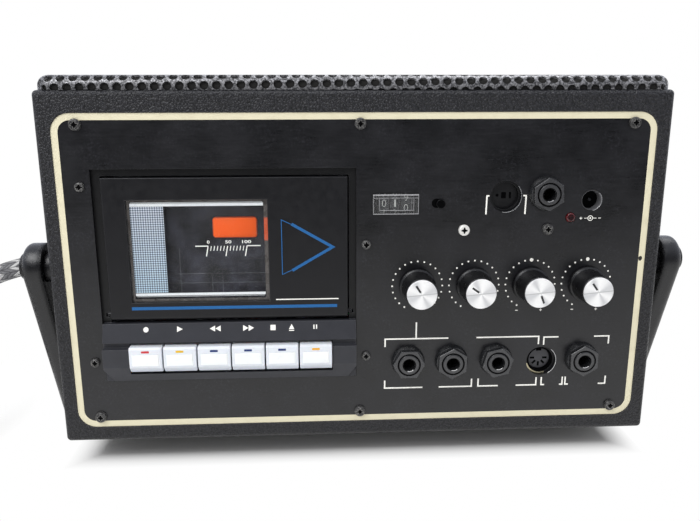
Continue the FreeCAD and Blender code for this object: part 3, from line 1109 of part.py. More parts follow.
# ---------------------------------------------------------------- inside
def make_electronics():
    """Circuit boards, capacitors and transformer."""
    control_d = PANEL_BACK + POT_LEN
    upright = block(KNOB_XS[0] - BOARD_MARGIN, KNOB_XS[-1] + BOARD_MARGIN, control_d, control_d + BOARD_T,
                    KNOB_Z - BOARD_MARGIN, KNOB_Z + BOARD_MARGIN)
    flat_z = PANEL_BOT + STANDOFF_H
    rear = REAR_COVER_D - BATTEN_W
    x1 = PANEL_HALF - BOARD_SIDE
    x0, d1 = x1 - BOARD_W, rear - BOARD_BACK
    d0 = d1 - BOARD_L
    flat = block(x0, x1, d0, d1, flat_z, flat_z + BOARD_T)
    standoffs = [rod_z(x, d, STANDOFF_R, PANEL_BOT, flat_z)
                 for x in (x0 + STANDOFF_INSET, x1 - STANDOFF_INSET)
                 for d in (d0 + STANDOFF_INSET, d1 - STANDOFF_INSET)]
    save("circuit_boards", upright, flat, *standoffs)
    cans = [rod_z(x0 + CAPACITOR_IN + CAPACITOR_PITCH * i, d1 - CAPACITOR_IN, CAPACITOR_R,
                  flat_z + BOARD_T, flat_z + BOARD_T + CAPACITOR_H) for i in range(2)]
    save("smoothing_capacitors", *cans)

    w, d, h = TRANSFORMER
    x0, d0 = -PANEL_HALF + TRANSFORMER_SIDE, rear - TRANSFORMER_BACK - d
    x1, d1, z1 = x0 + w, d0 + d, PANEL_BOT + h
    core = block(x0, x1, d0, d1, PANEL_BOT, z1)
    limb, wide = CORE_LIMB, CORE_LIMB + CORE_WINDOW
    windows = [block(a, b, d0, d1, PANEL_BOT + limb, z1 - limb)
               for a, b in ((x0 + limb, x0 + wide), (x1 - wide, x1 - limb))]
    fit = CORE_FIT
    winding = cut(block(x0 + limb + fit, x1 - limb - fit, d0 - WINDING_OUT, d1 + WINDING_OUT,
                        PANEL_BOT + limb + fit, z1 - limb - fit),
                  block(x0 + wide, x1 - wide, d0, d1, PANEL_BOT, z1))
    save("transformer", cut(core, *windows), winding)


# ---------------------------------------------------------------- handle
def make_handle():
    """Two arms, the bar with its rubber rings, and the pivot bolts with round covers."""
    outline = tangent_face((PIVOT_D, PIVOT_Z), (BAR_D, RING_R), HUB_R, ARM_END_R,
                           lambda d, z: V(ARM_X0, at(d), z))
    arm = outline.extrude(V(ARM_T, 0, 0))
    arm = arm.makeFillet(HUB_EDGE_R, [e for e in arm.Edges if e.BoundBox.XMin > ARM_X1 - 0.01])
    bore = rod_x(PIVOT_D, PIVOT_Z, PIVOT_R + PIVOT_FIT, ARM_X0, ARM_X1)
    seat = ARM_X0 + ARM_T / 2
    bar = rod_x(BAR_D, RING_R, BAR_R, -seat, seat)
    save("handle_arms", *both_sides(cut(arm, bore, bar)))
    save("handle_bar", bar)
    rings = [rod_x(BAR_D, RING_R, RING_R, x - RING_W / 2, x + RING_W / 2).cut(bar) for x in (-RING_X, RING_X)]
    save("handle_rings", *rings)

    nut_x, cover_x = PANEL_HALF - PIVOT_NUT_T, ARM_X1 + TOUCH
    bolt = rod_x(PIVOT_D, PIVOT_Z, PIVOT_R, nut_x - PIVOT_END, cover_x)
    washer = rod_x(PIVOT_D, PIVOT_Z, PIVOT_WASHER_R, CASE_W / 2, ARM_X0 - TOUCH)
    cover = rod_x(PIVOT_D, PIVOT_Z, CAP_R, cover_x, cover_x + CAP_T)
    rim = [e for e in cover.Edges if e.BoundBox.XMin > cover_x + CAP_T - 0.01]
    nut = rod_x(PIVOT_D, PIVOT_Z, PIVOT_NUT_R, nut_x, PANEL_HALF)
    save("pivot_bolts", *both_sides(join(bolt, washer, cover.makeFillet(CAP_EDGE_R, rim[:1]), nut)))


# ---------------------------------------------------------------- carrying cord
def cord_path(points):
    """Straight runs joined by tangent arcs, each as large as its two runs allow."""
    pts = [V(*p) for p in points]
    edges, start = [], pts[0]
    for before, corner, after in zip(pts, pts[1:], pts[2:]):
        into, out = corner - before, after - corner
        turn = into.getAngle(out)
        trim = ARC_SHARE * min(into.Length, out.Length)
        radius = trim / math.tan(turn / 2)
        into.normalize()
        out.normalize()
        a, b = corner - into * trim, corner + out * trim
        to_centre = (out - into).normalize()
        centre = corner + to_centre * math.hypot(radius, trim)
        middle = centre - to_centre * radius
        edges += [Part.LineSegment(start, a).toShape(), Part.Arc(a, middle, b).toShape()]
        start = b
        print("cord arc radius", round(radius, 1))
    edges.append(Part.LineSegment(start, pts[-1]).toShape())
    return Part.Wire(edges)


def make_cord():
    """Braided carrying cord: a free length, the put-away coil and the snap hook."""
    path = cord_path(CORD_POINTS)
    first = V(*CORD_POINTS[1]) - V(*CORD_POINTS[0])
    ring = Part.Wire([Part.Circle(V(*CORD_POINTS[0]), first, CORD_R).toShape()])
    tube = path.makePipeShell([ring], True, False)
    print("cord tube volume / section x length", tube.Volume / (math.pi * CORD_R ** 2 * path.Length))
    save("strap_cord_tube", tube)

    cx, cy = COIL_CENTRE
    outer, inner = COIL_TURN_R[-1] + CORD_R, COIL_TURN_R[0] - CORD_R
    coil = Part.makeCylinder(outer, 2 * CORD_R, V(cx, cy, 0))
    save("strap_cord_coil", coil.cut(Part.makeCylinder(inner, 2 * CORD_R, V(cx, cy, 0))))

    start = math.radians(HOOK_START)
    inward = start - math.radians(90 + HOOK_TURN)
    root_r = inner - HOOK_R * math.cos(math.radians(HOOK_TURN)) - TOUCH
    root = V(cx + root_r * math.cos(start), cy + root_r * math.sin(start), HOOK_R)
    along = V(math.cos(inward), math.sin(inward), 0)
    bow_at = HOOK_LEN - BOW_R - BOW_WIRE_R
    swivel = Part.makeCylinder(HOOK_R, HOOK_LEN * HOOK_SWIVEL, root, along)
    neck = Part.makeCylinder(BOW_WIRE_R, bow_at - BOW_R, root, along)
    bow = Part.makeTorus(BOW_R, BOW_WIRE_R, root + along * bow_at, V(0, 0, 1))
    save("strap_hook", join(swivel, neck, bow))


make_boards()
make_covering()
make_feet()
make_rear_cover()
make_mains_inlet()
make_panel()
make_front_screws()
make_bezel()
make_door()
make_holder()
make_chassis()
make_keys()
make_spindles()
make_tape_path()
make_counter()
make_knobs()
make_jacks()
make_small_sockets()
make_grille()
make_speaker()
make_electronics()
make_handle()
make_cord()
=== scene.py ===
"""Looks of the four track cassette recorder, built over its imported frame.

Pieces are laid out in millimetres: x to the right, depth behind the case's front face, and height
above the floor. Shape.piece turns those into metres in the frame.
"""
import math

import bmesh
import bpy
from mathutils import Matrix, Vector


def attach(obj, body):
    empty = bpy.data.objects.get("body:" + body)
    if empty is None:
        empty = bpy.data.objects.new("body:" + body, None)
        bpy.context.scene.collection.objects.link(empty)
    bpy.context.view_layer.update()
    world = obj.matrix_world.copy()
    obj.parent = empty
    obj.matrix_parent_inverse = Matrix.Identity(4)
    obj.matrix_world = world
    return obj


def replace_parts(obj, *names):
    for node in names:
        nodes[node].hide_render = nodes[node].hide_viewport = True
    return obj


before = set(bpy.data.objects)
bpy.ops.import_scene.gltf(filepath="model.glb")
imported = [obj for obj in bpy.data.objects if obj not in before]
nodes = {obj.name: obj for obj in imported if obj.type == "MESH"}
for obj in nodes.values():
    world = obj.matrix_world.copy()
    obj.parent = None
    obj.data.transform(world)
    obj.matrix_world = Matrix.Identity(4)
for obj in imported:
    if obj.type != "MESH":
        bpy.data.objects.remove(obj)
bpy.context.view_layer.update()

MM = 0.001
FRONT_Y = -73.55      # the case's front face


# ---------------------------------------------------------------- camera and carrying cord
CAMERA_PLACE = (-0.0246, -0.4396, 0.2076)
CAMERA_TURN = (76.5, 0.07, -3.0)      # degrees about x, y and z
LENS, LENS_FRAME = 36, 36


def place_camera():
    """Camera in front of the recorder, a little above it and to its left."""
    camera = bpy.data.objects.new("camera", bpy.data.cameras.new("camera"))
    camera.location = CAMERA_PLACE
    camera.rotation_euler = [math.radians(turn) for turn in CAMERA_TURN]
    camera.data.lens = LENS
    camera.data.sensor_width = LENS_FRAME
    bpy.context.scene.collection.objects.link(camera)
    bpy.context.scene.camera = camera


# The cord is laid out in metres.
CORD_R = 0.005
CORD_LENGTH = 1.145
CORD_ROUND, CORD_SMOOTH = 7, 6        # steps round it and along it
CORD_ROUTE = [(-0.1854, -0.0535, 0.1140), (-0.2020, -0.0534, 0.1099), (-0.2161, -0.0538, 0.1004),
              (-0.2267, -0.0546, 0.0858), (-0.2323, -0.0558, 0.0687), (-0.2347, -0.0572, 0.0519),
              (-0.2394, -0.0589, 0.0366), (-0.2499, -0.0611, 0.0232), (-0.2645, -0.0638, 0.0144),
              (-0.2815, -0.0662, 0.0085), (-0.2992, -0.0677, 0.0054), (-0.3180, -0.0685, 0.0050)]
COIL_MIDDLE = (-0.3180, -0.0035)
COIL_STEP = 15
COIL_TURNED = 975     # degrees of coil, clockwise from the front
# Degrees turned and the coil's radius there.
COIL_RADII = [(0, 0.065), (270, 0.065), (345, 0.055), (630, 0.055), (705, 0.045), (975, 0.045)]
CORD_INTO_HOOK = [(-0.2762, -0.0090, 0.0045), (-0.2819, -0.0132, 0.0050)]


def coil_radius(turned):
    """The coil's radius after this many degrees: level turns with steps between them."""
    for (start, wide), (end, narrow) in zip(COIL_RADII, COIL_RADII[1:]):
        if turned <= end:
            return wide + (narrow - wide) * (turned - start) / (end - start)


def lay_cord():
    """The braided cord on one smooth line: free length, flat coil and the hook's eye."""
    points = list(CORD_ROUTE)
    for turned in range(COIL_STEP, COIL_TURNED + 1, COIL_STEP):
        angle, radius = math.radians(-90 - turned), coil_radius(turned)
        points.append((COIL_MIDDLE[0] + radius * math.cos(angle),
                       COIL_MIDDLE[1] + radius * math.sin(angle), CORD_R))
    points += CORD_INTO_HOOK
    line = bpy.data.curves.new("carrying_cord", "CURVE")
    line.dimensions = "3D"
    spline = line.splines.new("NURBS")
    spline.points.add(len(points) - 1)
    for control, point in zip(spline.points, points):
        control.co = (*point, 1)
        control.radius = CORD_R
    spline.order_u = 3
    spline.use_endpoint_u = True
    line.bevel_depth = 1.0
    line.bevel_resolution = CORD_ROUND
    line.resolution_u = CORD_SMOOTH
    line.use_fill_caps = True
    cord = bpy.data.objects.new("carrying_cord", line)
    bpy.context.scene.collection.objects.link(cord)
    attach(cord, "cabinet")
    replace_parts(cord, "strap_cord_tube", "strap_cord_coil")
    return cord


place_camera()
carrying_cord = lay_cord()


# ---------------------------------------------------------------- materials
# Places and pitches that the finishes go by, some of them shared with the shapes.
LABEL_TOP = 86.0                      # upper edge of the grey strip above the keys
KEY_LEFT, KEY_PITCH, KEY_W = -125.0, 18.35, 17.55
KEY_LOW, KEY_SHADE = 59.8, 3.8        # a key's lower edge, and how far its painted shade reaches up
PAD_HALF, PAD_Z, PAD_TALL = 7.2, 67.3, 3.2      # finger pads: half width, middle, half height
CHIP, CHIP_HALF = (154.6, 118.5), (1.1, 1.5)    # the cream border's one chip
ZINC_SCREW, SCREW_NEAR = (55.9, 135.5), 5       # the one bright screw, and how near is still on it
LAMP, LAMP_R = (113.8, 141.8), 2.5
KNOB_XS = (31.3, 62.6, 93.9, 125.2)
KNOB_PITCH = 31.3
KNOB_Z = 104.7
DARK_BAND_HALF = 0.32                      # the faint dark line across a knob's cap, a painted reflection
CAP_RING = 0.42                       # one turned ring on it
WINDOW_LOW, WINDOW_HIGH = 100, 150
DOT_PITCH = 2.5                       # dots of the halftone strip
WELL_SHELF, WELL_LIP = 111.6, 106.4   # level lines in the cassette well, painted highlights on its ledges
WELL_LEFT = -101                      # where they start
WELL_POST, WELL_POST_TOP = 97.5, 126  # its upright line, left of the middle
WELL_STUDS = (80.5, 74.8)             # and two short ones
GLOW_X, GLOW_Z, GLOW_HALF = -56, 137, 5.6       # where the window's rim takes the orange block's colour as painted reflection
GRILLE_TOP, GRILLE_LOW = 216.5, 209.0
BAND_PITCH = 26                       # pale bands of the capacitors' sleeves
BRAID_PITCH = 1.9                     # one yarn along the cord
BRAID_COLUMNS = 12                    # an even number of leaning columns round the cord
BRAID_LEAN = 1.3


def colour(red, green, blue):
    """A colour written as 0 to 255 on screen, as the renderer's own light values."""
    screen = [value / 255 for value in (red, green, blue)]
    return (*[s / 12.92 if s <= 0.04045 else ((s + 0.055) / 1.055) ** 2.4 for s in screen], 1)


class Shade:
    """A value in a node tree; arithmetic on it adds the Math nodes that work it out."""

    def __init__(self, wiring, node, output):
        self.wiring, self.node, self.output = wiring, node, output

    @property
    def socket(self):
        return self.node.outputs[self.output]

    def out(self, output):
        """Another output of the same node."""
        return Shade(self.wiring, self.node, output)

    def maths(self, operation, *values):
        return self.wiring.add("ShaderNodeMath", {"operation": operation}, dict(enumerate(values)))

    def __add__(self, other):
        return self.maths("ADD", self, other)

    def __sub__(self, other):
        return self.maths("SUBTRACT", self, other)

    def __rsub__(self, other):
        return self.maths("SUBTRACT", other, self)

    def __mul__(self, other):
        return self.maths("MULTIPLY", self, other)

    def __truediv__(self, other):
        return self.maths("DIVIDE", self, other)

    def __gt__(self, other):
        return self.maths("GREATER_THAN", self, other)

    def __lt__(self, other):
        return self.maths("LESS_THAN", self, other)

    def wave(self):
        return self.maths("SINE", self)

    def size(self):
        return self.maths("ABSOLUTE", self)

    def fraction(self):
        return self.maths("FRACT", self)

    def power(self, other):
        return self.maths("POWER", self, other)

    def largest(self, other):
        return self.maths("MAXIMUM", self, other)

    __radd__, __rmul__ = __add__, __mul__


class Wiring:
    """A node tree; every node gets into it through add."""

    def __init__(self, tree):
        self.tree = tree
        tree.nodes.clear()

    def add(self, kind, settings=None, inputs=None, output=0):
        node = self.tree.nodes.new(kind)
        for name, value in (settings or {}).items():
            setattr(node, name, value)
        for name, value in (inputs or {}).items():
            self.join(node.inputs[name], value)
        return Shade(self, node, output)

    def join(self, socket, value):
        if isinstance(value, Shade):
            self.tree.links.new(value.socket, socket)
        else:
            socket.default_value = value

    def axes(self, vector):
        apart = self.add("ShaderNodeSeparateXYZ", None, {0: vector})
        return [apart.out(axis) for axis in range(3)]

    def span(self, value, low, high, start=0.0, end=1.0):
        """value taken from low..high to start..end, and held at the ends."""
        return self.add("ShaderNodeMapRange", {"clamp": True},
                        {0: value, 1: low, 2: high, 3: start, 4: end})

    def shown(self):
        """1 for what the camera sees, also in mirrors and through clear pieces."""
        rays = self.add("ShaderNodeLightPath", output="Is Camera Ray")
        return rays.largest(rays.out("Is Glossy Ray")).largest(rays.out("Is Transmission Ray"))


class Finish(Wiring):
    """One material of the recorder."""

    def __init__(self, name, **settings):
        self.material = bpy.data.materials.new(name)
        self.material.use_nodes = True
        super().__init__(self.material.node_tree)
        self.shader = self.add("ShaderNodeBsdfPrincipled")
        self.surface = self.add("ShaderNodeOutputMaterial", None, {"Surface": self.shader})
        self.place = self.add("ShaderNodeVectorMath", {"operation": "SCALE"},
                              {0: self.add("ShaderNodeTexCoord", output="Object"), "Scale": 1 / MM})
        self.set(**settings)

    def set(self, **sockets):
        """Sets the main shader's sockets: base_color is its Base Color."""
        for name, value in sockets.items():
            words = name.split("_")
            title = " ".join(word.upper() if word == "ior" else word.capitalize() for word in words)
            self.join(self.shader.node.inputs[title], value)
        return self

    def around(self):
        """x, depth and height in millimetres."""
        x, y, height = self.axes(self.place)
        return x, y - FRONT_Y, height

    def grain(self, size, detail=3, rough=0.5, along=None):
        """Cloudy noise with features of about this size in millimetres."""
        return self.add("ShaderNodeTexNoise", None,
                        {"Vector": along or self.place, "Scale": 1 / size, "Detail": detail,
                         "Roughness": rough})

    def cells(self, size):
        """Round-topped cells, as on pebbled leather."""
        return self.add("ShaderNodeTexVoronoi", {"feature": "SMOOTH_F1"},
                        {"Vector": self.place, "Scale": 1 / size})

    def stretched(self, x, y, z):
        """The place drawn out, for grain that runs one way."""
        return self.add("ShaderNodeVectorMath", {"operation": "MULTIPLY"},
                        {0: self.place, 1: (x, y, z)})

    def blend(self, factor, first, second):
        """From the first colour at 0 to the second at 1."""
        return self.add("ShaderNodeMix", {"data_type": "RGBA"}, {0: factor, 6: first, 7: second}, 2)

    def softened(self, edge):
        """The surface's direction, rounded over its edges."""
        return self.add("ShaderNodeBevel", {"samples": 4}, {"Radius": edge * MM})

    def rubbed(self, edge):
        """1 along outer edges: pale there as wear, and as painted highlight along the edges."""
        turned = self.add("ShaderNodeVectorMath", {"operation": "DOT_PRODUCT"},
                          {0: self.softened(edge),
                           1: self.add("ShaderNodeNewGeometry", output="Normal")}, "Value")
        return self.span(turned, 0.995, 0.86)

    def bump(self, height, deep, edge=0.0):
        """Relief this many millimetres deep, over edges softened to a radius."""
        inputs = {"Height": height, "Distance": deep * MM}
        if edge:
            inputs["Normal"] = self.softened(edge)
        self.set(normal=self.add("ShaderNodeBump", None, inputs))
        return self


def covering_finish():
    """Leather-grained covering: fine pebbles with a soft shine on their tops, their creases
    darkened as painted shade and their edges paler as wear and painted highlight.
    """
    f = Finish("covering_finish", specular_ior_level=0.5)
    pebbles = f.cells(0.95)
    creases = f.grain(1.2, 4, 0.65)
    patches = f.grain(30, 4, 0.6)
    # tone darkens the pebbles' edges and the creases: painted shade.
    tone = f.span(pebbles * 0.7 + creases * 0.6, 0.4, 0.75)
    # worn: pale outer edges, partly wear and partly painted highlight from above.
    worn = f.rubbed(0.9) * f.span(creases, 0.4, 0.6) * 0.5
    leather = f.blend(tone, colour(34, 34, 39), colour(4, 4, 6))
    f.set(base_color=f.blend(worn, leather, colour(122, 118, 118)),
          roughness=f.span(patches + tone * 0.3, 0.35, 0.85, 0.28, 0.44))
    return f.bump(1 - pebbles * 0.8 - creases * 0.6, 0.8, edge=1.2)


def panel_finish():
    """Satin black paint on the aluminium panel, brushed from side to side, with fine dust."""
    f = Finish("panel_finish", specular_ior_level=0.6)
    brushed = f.grain(0.8, 4, 0.6, along=f.stretched(0.08, 1.0, 1.0))
    clouds = f.grain(26, 4, 0.6)
    dust = f.span(f.grain(1.3, 5, 0.75), 0.5, 0.75) * f.span(f.grain(18, 4, 0.6), 0.4, 0.7)
    tint = f.blend(f.span(clouds + brushed * 0.4, 0.5, 0.9), colour(10, 10, 12), colour(24, 24, 28))
    f.set(base_color=f.blend(dust * 0.35, tint, colour(84, 84, 93)),
          roughness=f.span(clouds * 0.6 + brushed * 0.4, 0.35, 0.65, 0.26, 0.4))
    return f.bump(brushed, 0.02, edge=0.3)


def moulded_finish(name, dark, light, rough, relief=0.015, shine=0.4, rub_and_highlight=0.0, edge=0.35):
    """Moulded plastic: faint cloudiness, fine texture, softened edges, and pale edges when asked,
    as wear and painted highlight.
    """
    f = Finish(name, specular_ior_level=shine)
    plastic = f.blend(f.grain(11, 4, 0.6), dark, light)
    if rub_and_highlight:
        plastic = f.blend(f.rubbed(edge) * rub_and_highlight, plastic, colour(130, 130, 134))
    f.set(base_color=plastic,
          roughness=f.span(f.grain(4, 3), 0.3, 0.7, rough - 0.06, rough + 0.08))
    return f.bump(f.grain(0.35, 3), relief, edge)


def bezel_finish():
    """Deck moulding: black round the door, grey where the labels and keys sit."""
    f = Finish("bezel_finish", specular_ior_level=0.4)
    _, _, height = f.around()
    lower = f.span(height, LABEL_TOP + 0.4, LABEL_TOP)
    clouds = f.grain(14, 3)
    grey = f.blend(clouds, colour(43, 44, 49), colour(57, 58, 64))
    plastic = f.blend(lower, colour(15, 15, 16), grey)
    # Pale edges: wear and painted highlight.
    f.set(base_color=f.blend(f.rubbed(0.5) * 0.35, plastic, colour(104, 104, 108)),
          roughness=f.span(f.grain(3, 4), 0.3, 0.7, 0.36, 0.48))
    return f.bump(f.grain(0.3, 3), 0.015, edge=0.35)


def door_finish():
    """Satin black door moulding, its edges pale as wear and painted highlight."""
    return moulded_finish("door_finish", colour(13, 13, 16), colour(21, 21, 25), rough=0.4,
                          rub_and_highlight=0.5)


def key_finish():
    """White key caps, palest on their finger pads, cooler and darker toward their lower edge as
    painted shade.
    """
    f = Finish("key_finish", specular_ior_level=0.5, subsurface_weight=0.05)
    x, _, height = f.around()
    in_key = ((x - KEY_LEFT) / KEY_PITCH).fraction() * KEY_PITCH - KEY_W / 2
    pad = (in_key.size() < PAD_HALF) * ((height - PAD_Z).size() < PAD_TALL)
    # Painted shade on the lower part of each key.
    low = f.span(height, KEY_LOW + KEY_SHADE, KEY_LOW)
    dirt = f.span(f.grain(2.4, 5, 0.7), 0.55, 0.75) * 0.12
    cap = f.blend(pad, colour(230, 233, 240), colour(250, 251, 252))
    cap_and_shade = f.blend(low, cap, colour(206, 211, 222))
    f.set(base_color=f.blend(dirt, cap_and_shade, colour(170, 168, 160)),
          roughness=f.span(f.grain(5, 3), 0.3, 0.7, 0.3, 0.42))
    return f.bump(f.grain(0.5, 2), 0.008, edge=0.35)


def print_finish(name, ink, worn, wear=0.35):
    """Screen-printed ink, thin in small places."""
    f = Finish(name, specular_ior_level=0.35)
    thin = f.span(f.grain(0.9, 4, 0.7), 0.56, 0.72) * wear
    f.set(base_color=f.blend(thin, ink, worn),
          roughness=f.span(f.grain(2.0, 2), 0.3, 0.7, 0.5, 0.62))
    return f.bump(f.grain(0.25, 2), 0.006)


def line_finish():
    """The panel's cream border, chipped in one place on its right side."""
    f = Finish("line_finish", specular_ior_level=0.4)
    x, _, height = f.around()
    chip_x = (x - CHIP[0]) / CHIP_HALF[0]
    chip_z = (height - CHIP[1]) / CHIP_HALF[1]
    edge = f.grain(0.8, 3)
    chip = (chip_x * chip_x + chip_z * chip_z + edge) < 1.4
    soil = f.span(f.grain(9, 5, 0.65), 0.5, 0.75) * 0.22
    cream = f.blend(soil, colour(230, 223, 194), colour(190, 178, 146))
    f.set(base_color=f.blend(chip, cream, colour(40, 38, 36)),
          roughness=f.span(edge, 0.3, 0.7, 0.45, 0.58))
    return f.bump(edge, 0.008)


def steel_finish(name, dark, light, rough):
    """Plated or painted metal with fine drawn scratches."""
    f = Finish(name, metallic=1.0)
    drawn = f.grain(1.6, 4, 0.6, along=f.stretched(1.0, 1.0, 12.0))
    f.set(base_color=f.blend(f.grain(5, 4, 0.6), dark, light),
          roughness=f.span(drawn, 0.3, 0.7, rough - 0.07, rough + 0.1))
    return f.bump(drawn, 0.006, edge=0.2)


def grille_finish():
    """Black paint over punched steel, worn bright in specks, most of all on the rolled edge; the
    specks are partly wear and partly painted highlight, stronger toward the top.
    """
    f = Finish("grille_finish", specular_ior_level=0.5)
    _, _, height = f.around()
    specks = f.span(f.grain(1.1, 5, 0.75), 0.44, 0.6)
    # Specks stronger toward the top: painted highlight where light falls from above, over real
    # wear.
    rub_and_highlight = specks * f.span(height, GRILLE_LOW, GRILLE_TOP - 2.5, 0.55, 0.9)
    f.set(base_color=f.blend(rub_and_highlight, colour(40, 40, 43), colour(168, 168, 172)),
          roughness=f.span(rub_and_highlight, 0.0, 1.0, 0.4, 0.26), metallic=rub_and_highlight * 0.4)
    return f.bump(f.grain(0.7, 4, 0.6), 0.1, edge=0.25)


def front_screw_finish():
    """Blackened screws with pale worn rims that are also painted highlight, one of them plain zinc.
    """
    f = Finish("front_screw_finish")
    x, _, height = f.around()
    silver = ((x - ZINC_SCREW[0]).size() < SCREW_NEAR) * ((height - ZINC_SCREW[1]).size()
                                                          < SCREW_NEAR)
    # Pale specks are wear; pale rims are wear and painted highlight.
    rub_and_highlight = (f.span(f.grain(0.9, 5, 0.7), 0.46, 0.66) * 0.3).largest(f.rubbed(0.6))
    black = f.blend(rub_and_highlight, colour(36, 36, 38), colour(206, 204, 200))
    f.set(base_color=f.blend(silver, black, colour(246, 244, 240)),
          metallic=f.span(silver * 0.6 + rub_and_highlight, 0, 1, 0.2, 0.45),
          roughness=f.span(rub_and_highlight, 0, 1, 0.4, 0.3))
    return f.bump(f.grain(0.4, 3), 0.02, edge=0.2)


def nut_finish():
    """Dark moulded nuts and socket noses: paler front faces as painted light, and pale corners as
    wear and painted highlight.
    """
    f = Finish("nut_finish", specular_ior_level=0.6)
    _, facing, _ = f.axes(f.add("ShaderNodeNewGeometry", output="Normal"))
    # Front faces painted paler: painted light.
    front = f.span(facing, -0.9, -0.99)
    body = f.blend(f.grain(3, 4), colour(20, 21, 23), colour(36, 37, 39))
    # pale mixes that painted front light with the edges' wear and painted highlight.
    pale = (front * 0.2).largest(f.rubbed(0.3) * 0.5)
    f.set(base_color=f.blend(pale, body, colour(118, 118, 121)),
          roughness=f.span(f.grain(2, 3), 0.3, 0.7, 0.22, 0.34))
    return f.bump(f.grain(0.5, 3), 0.01, edge=0.12)


def clear_finish(name, milk, dusty, gloss):
    """Thin clear plastic under a slight veil, with dust and a shine at its edge."""
    f = Finish(name, base_color=(0.9, 0.9, 0.92, 1))
    specks = f.span(f.grain(2.2, 5, 0.75), 0.58, 0.8)
    smears = f.span(f.grain(16, 5, 0.65), 0.45, 0.75) * 0.6
    dust = specks + smears
    edge = f.add("ShaderNodeLayerWeight", None, {"Blend": 0.3}, "Fresnel")
    f.set(roughness=f.span(dust, 0, 1, 0.1, 0.4))
    through = f.add("ShaderNodeBsdfTransparent", None, {"Color": (0.97, 0.98, 0.98, 1)})
    mixed = f.add("ShaderNodeMixShader", None,
                  {0: dust * dusty + edge * gloss + milk, 1: through, 2: f.shader})
    f.join(f.surface.node.inputs["Surface"], mixed)
    return f


def strip_finish():
    """Printed halftone strip behind the door window: pale dots on blue-grey."""
    f = Finish("strip_finish", specular_ior_level=0.4)
    x, _, height = f.around()
    turns = 2 * math.pi / DOT_PITCH
    dots = ((x + height) * turns).wave() * ((x - height) * turns).wave()
    tone = f.blend(f.span(height, WINDOW_LOW + 2, WINDOW_HIGH), colour(194, 218, 234),
                   colour(214, 217, 229))
    f.set(base_color=f.blend(f.span(dots, 0.2, -0.3), colour(92, 103, 120), tone),
          roughness=f.span(dots, 0, 1, 0.5, 0.4))
    return f


def card_finish():
    """Dark printed card and empty cassette well seen through the window, with pale lines on the
    well's ledges as painted highlights.
    """
    f = Finish("card_finish", specular_ior_level=0.4)
    x, _, height = f.around()
    smoke = f.grain(13, 5, 0.65)
    bloom = f.span(smoke, 0.38, 0.72) * f.span(height, WINDOW_HIGH, WINDOW_LOW, 0.4, 0.75)
    # Pale lines on the well's ledges, post and studs: painted highlights.
    ledge = ((height - WELL_SHELF).size() < 0.22).largest((height - WELL_LIP).size() < 0.16)
    post = ((x + WELL_POST).size() < 0.2) * (height < WELL_POST_TOP)
    studs = ((x + WELL_STUDS[0]).size() < 0.2).largest((x + WELL_STUDS[1]).size() < 0.15)
    lower = studs * (height < WELL_SHELF)
    edges = (ledge * f.span(x, WELL_LEFT, WELL_LEFT + 3)).largest(post).largest(lower)
    ledge_highlight = edges * f.span(smoke, 0.3, 0.6) * 0.6
    dark = f.blend(bloom, colour(20, 19, 24), colour(80, 79, 94))
    f.set(base_color=f.blend(ledge_highlight, dark, colour(120, 118, 124)),
          roughness=f.span(smoke, 0.3, 0.7, 0.3, 0.5))
    return f.bump(smoke, 0.05)


def rim_finish():
    """Clear edge of the door window, taking the orange block's colour beside it as a painted
    reflection.
    """
    f = Finish("rim_finish", specular_ior_level=0.6)
    x, _, height = f.around()
    # glow: the orange block's painted reflection on the rim.
    glow = (x > GLOW_X) * f.span((height - GLOW_Z).size(), GLOW_HALF + 1, GLOW_HALF)
    grime = f.grain(5, 4)
    grey = f.blend(grime, colour(58, 52, 50), colour(104, 98, 95))
    f.set(base_color=f.blend(glow * 0.85, grey, colour(226, 92, 48)),
          roughness=f.span(grime, 0.3, 0.7, 0.2, 0.35))
    return f


def spun_finish():
    """Aluminium knob caps turned on a lathe: fine rings, with pale and grey wedges round each
    middle and a dark band across it, all painted reflection.
    """
    f = Finish("spun_finish")
    x, _, height = f.around()
    across = (x - KNOB_XS[0] + KNOB_PITCH / 2) / KNOB_PITCH
    out_x = (across.fraction() - 0.5) * KNOB_PITCH
    out_z = height - KNOB_Z
    radius = (out_x * out_x + out_z * out_z).power(0.5)
    wobble = f.grain(2.5, 3) * 0.25
    rings = ((radius + wobble) * (2 * math.pi / CAP_RING)).wave()
    # Light falls in two pairs of opposite wedges, a broad one and a narrow one.
    leaning = (out_x * 0.94 + out_z * 0.34) / radius
    upright = (out_x * 0.5 - out_z * 0.87) / radius
    wedges = (leaning * leaning).power(3) * 0.75 + (upright * upright).power(12) * 0.7
    # A dark band across the middle: painted reflection.
    tilt = out_z + out_x * -0.1
    dark_band = f.span(tilt, DARK_BAND_HALF, 0.1) * f.span(tilt, -DARK_BAND_HALF, -0.1)
    pale = f.blend(wedges + f.grain(1.2, 4) * 0.2, colour(255, 255, 255), colour(200, 201, 204))
    f.set(base_color=f.blend(dark_band * 0.45, pale, colour(120, 120, 122)), metallic=0.1,
          roughness=f.span(rings, -1, 1, 0.3, 0.4))
    return f.bump(rings, 0.01)


def rubber_finish():
    """Dull black rubber with dust in it."""
    f = Finish("rubber_finish", specular_ior_level=0.3)
    dust = f.span(f.grain(3, 5, 0.7), 0.5, 0.75) * 0.3
    f.set(base_color=f.blend(dust, colour(24, 24, 25), colour(76, 74, 72)),
          roughness=f.span(dust, 0, 0.3, 0.72, 0.85))
    return f.bump(f.grain(0.4, 3), 0.04, edge=0.4)


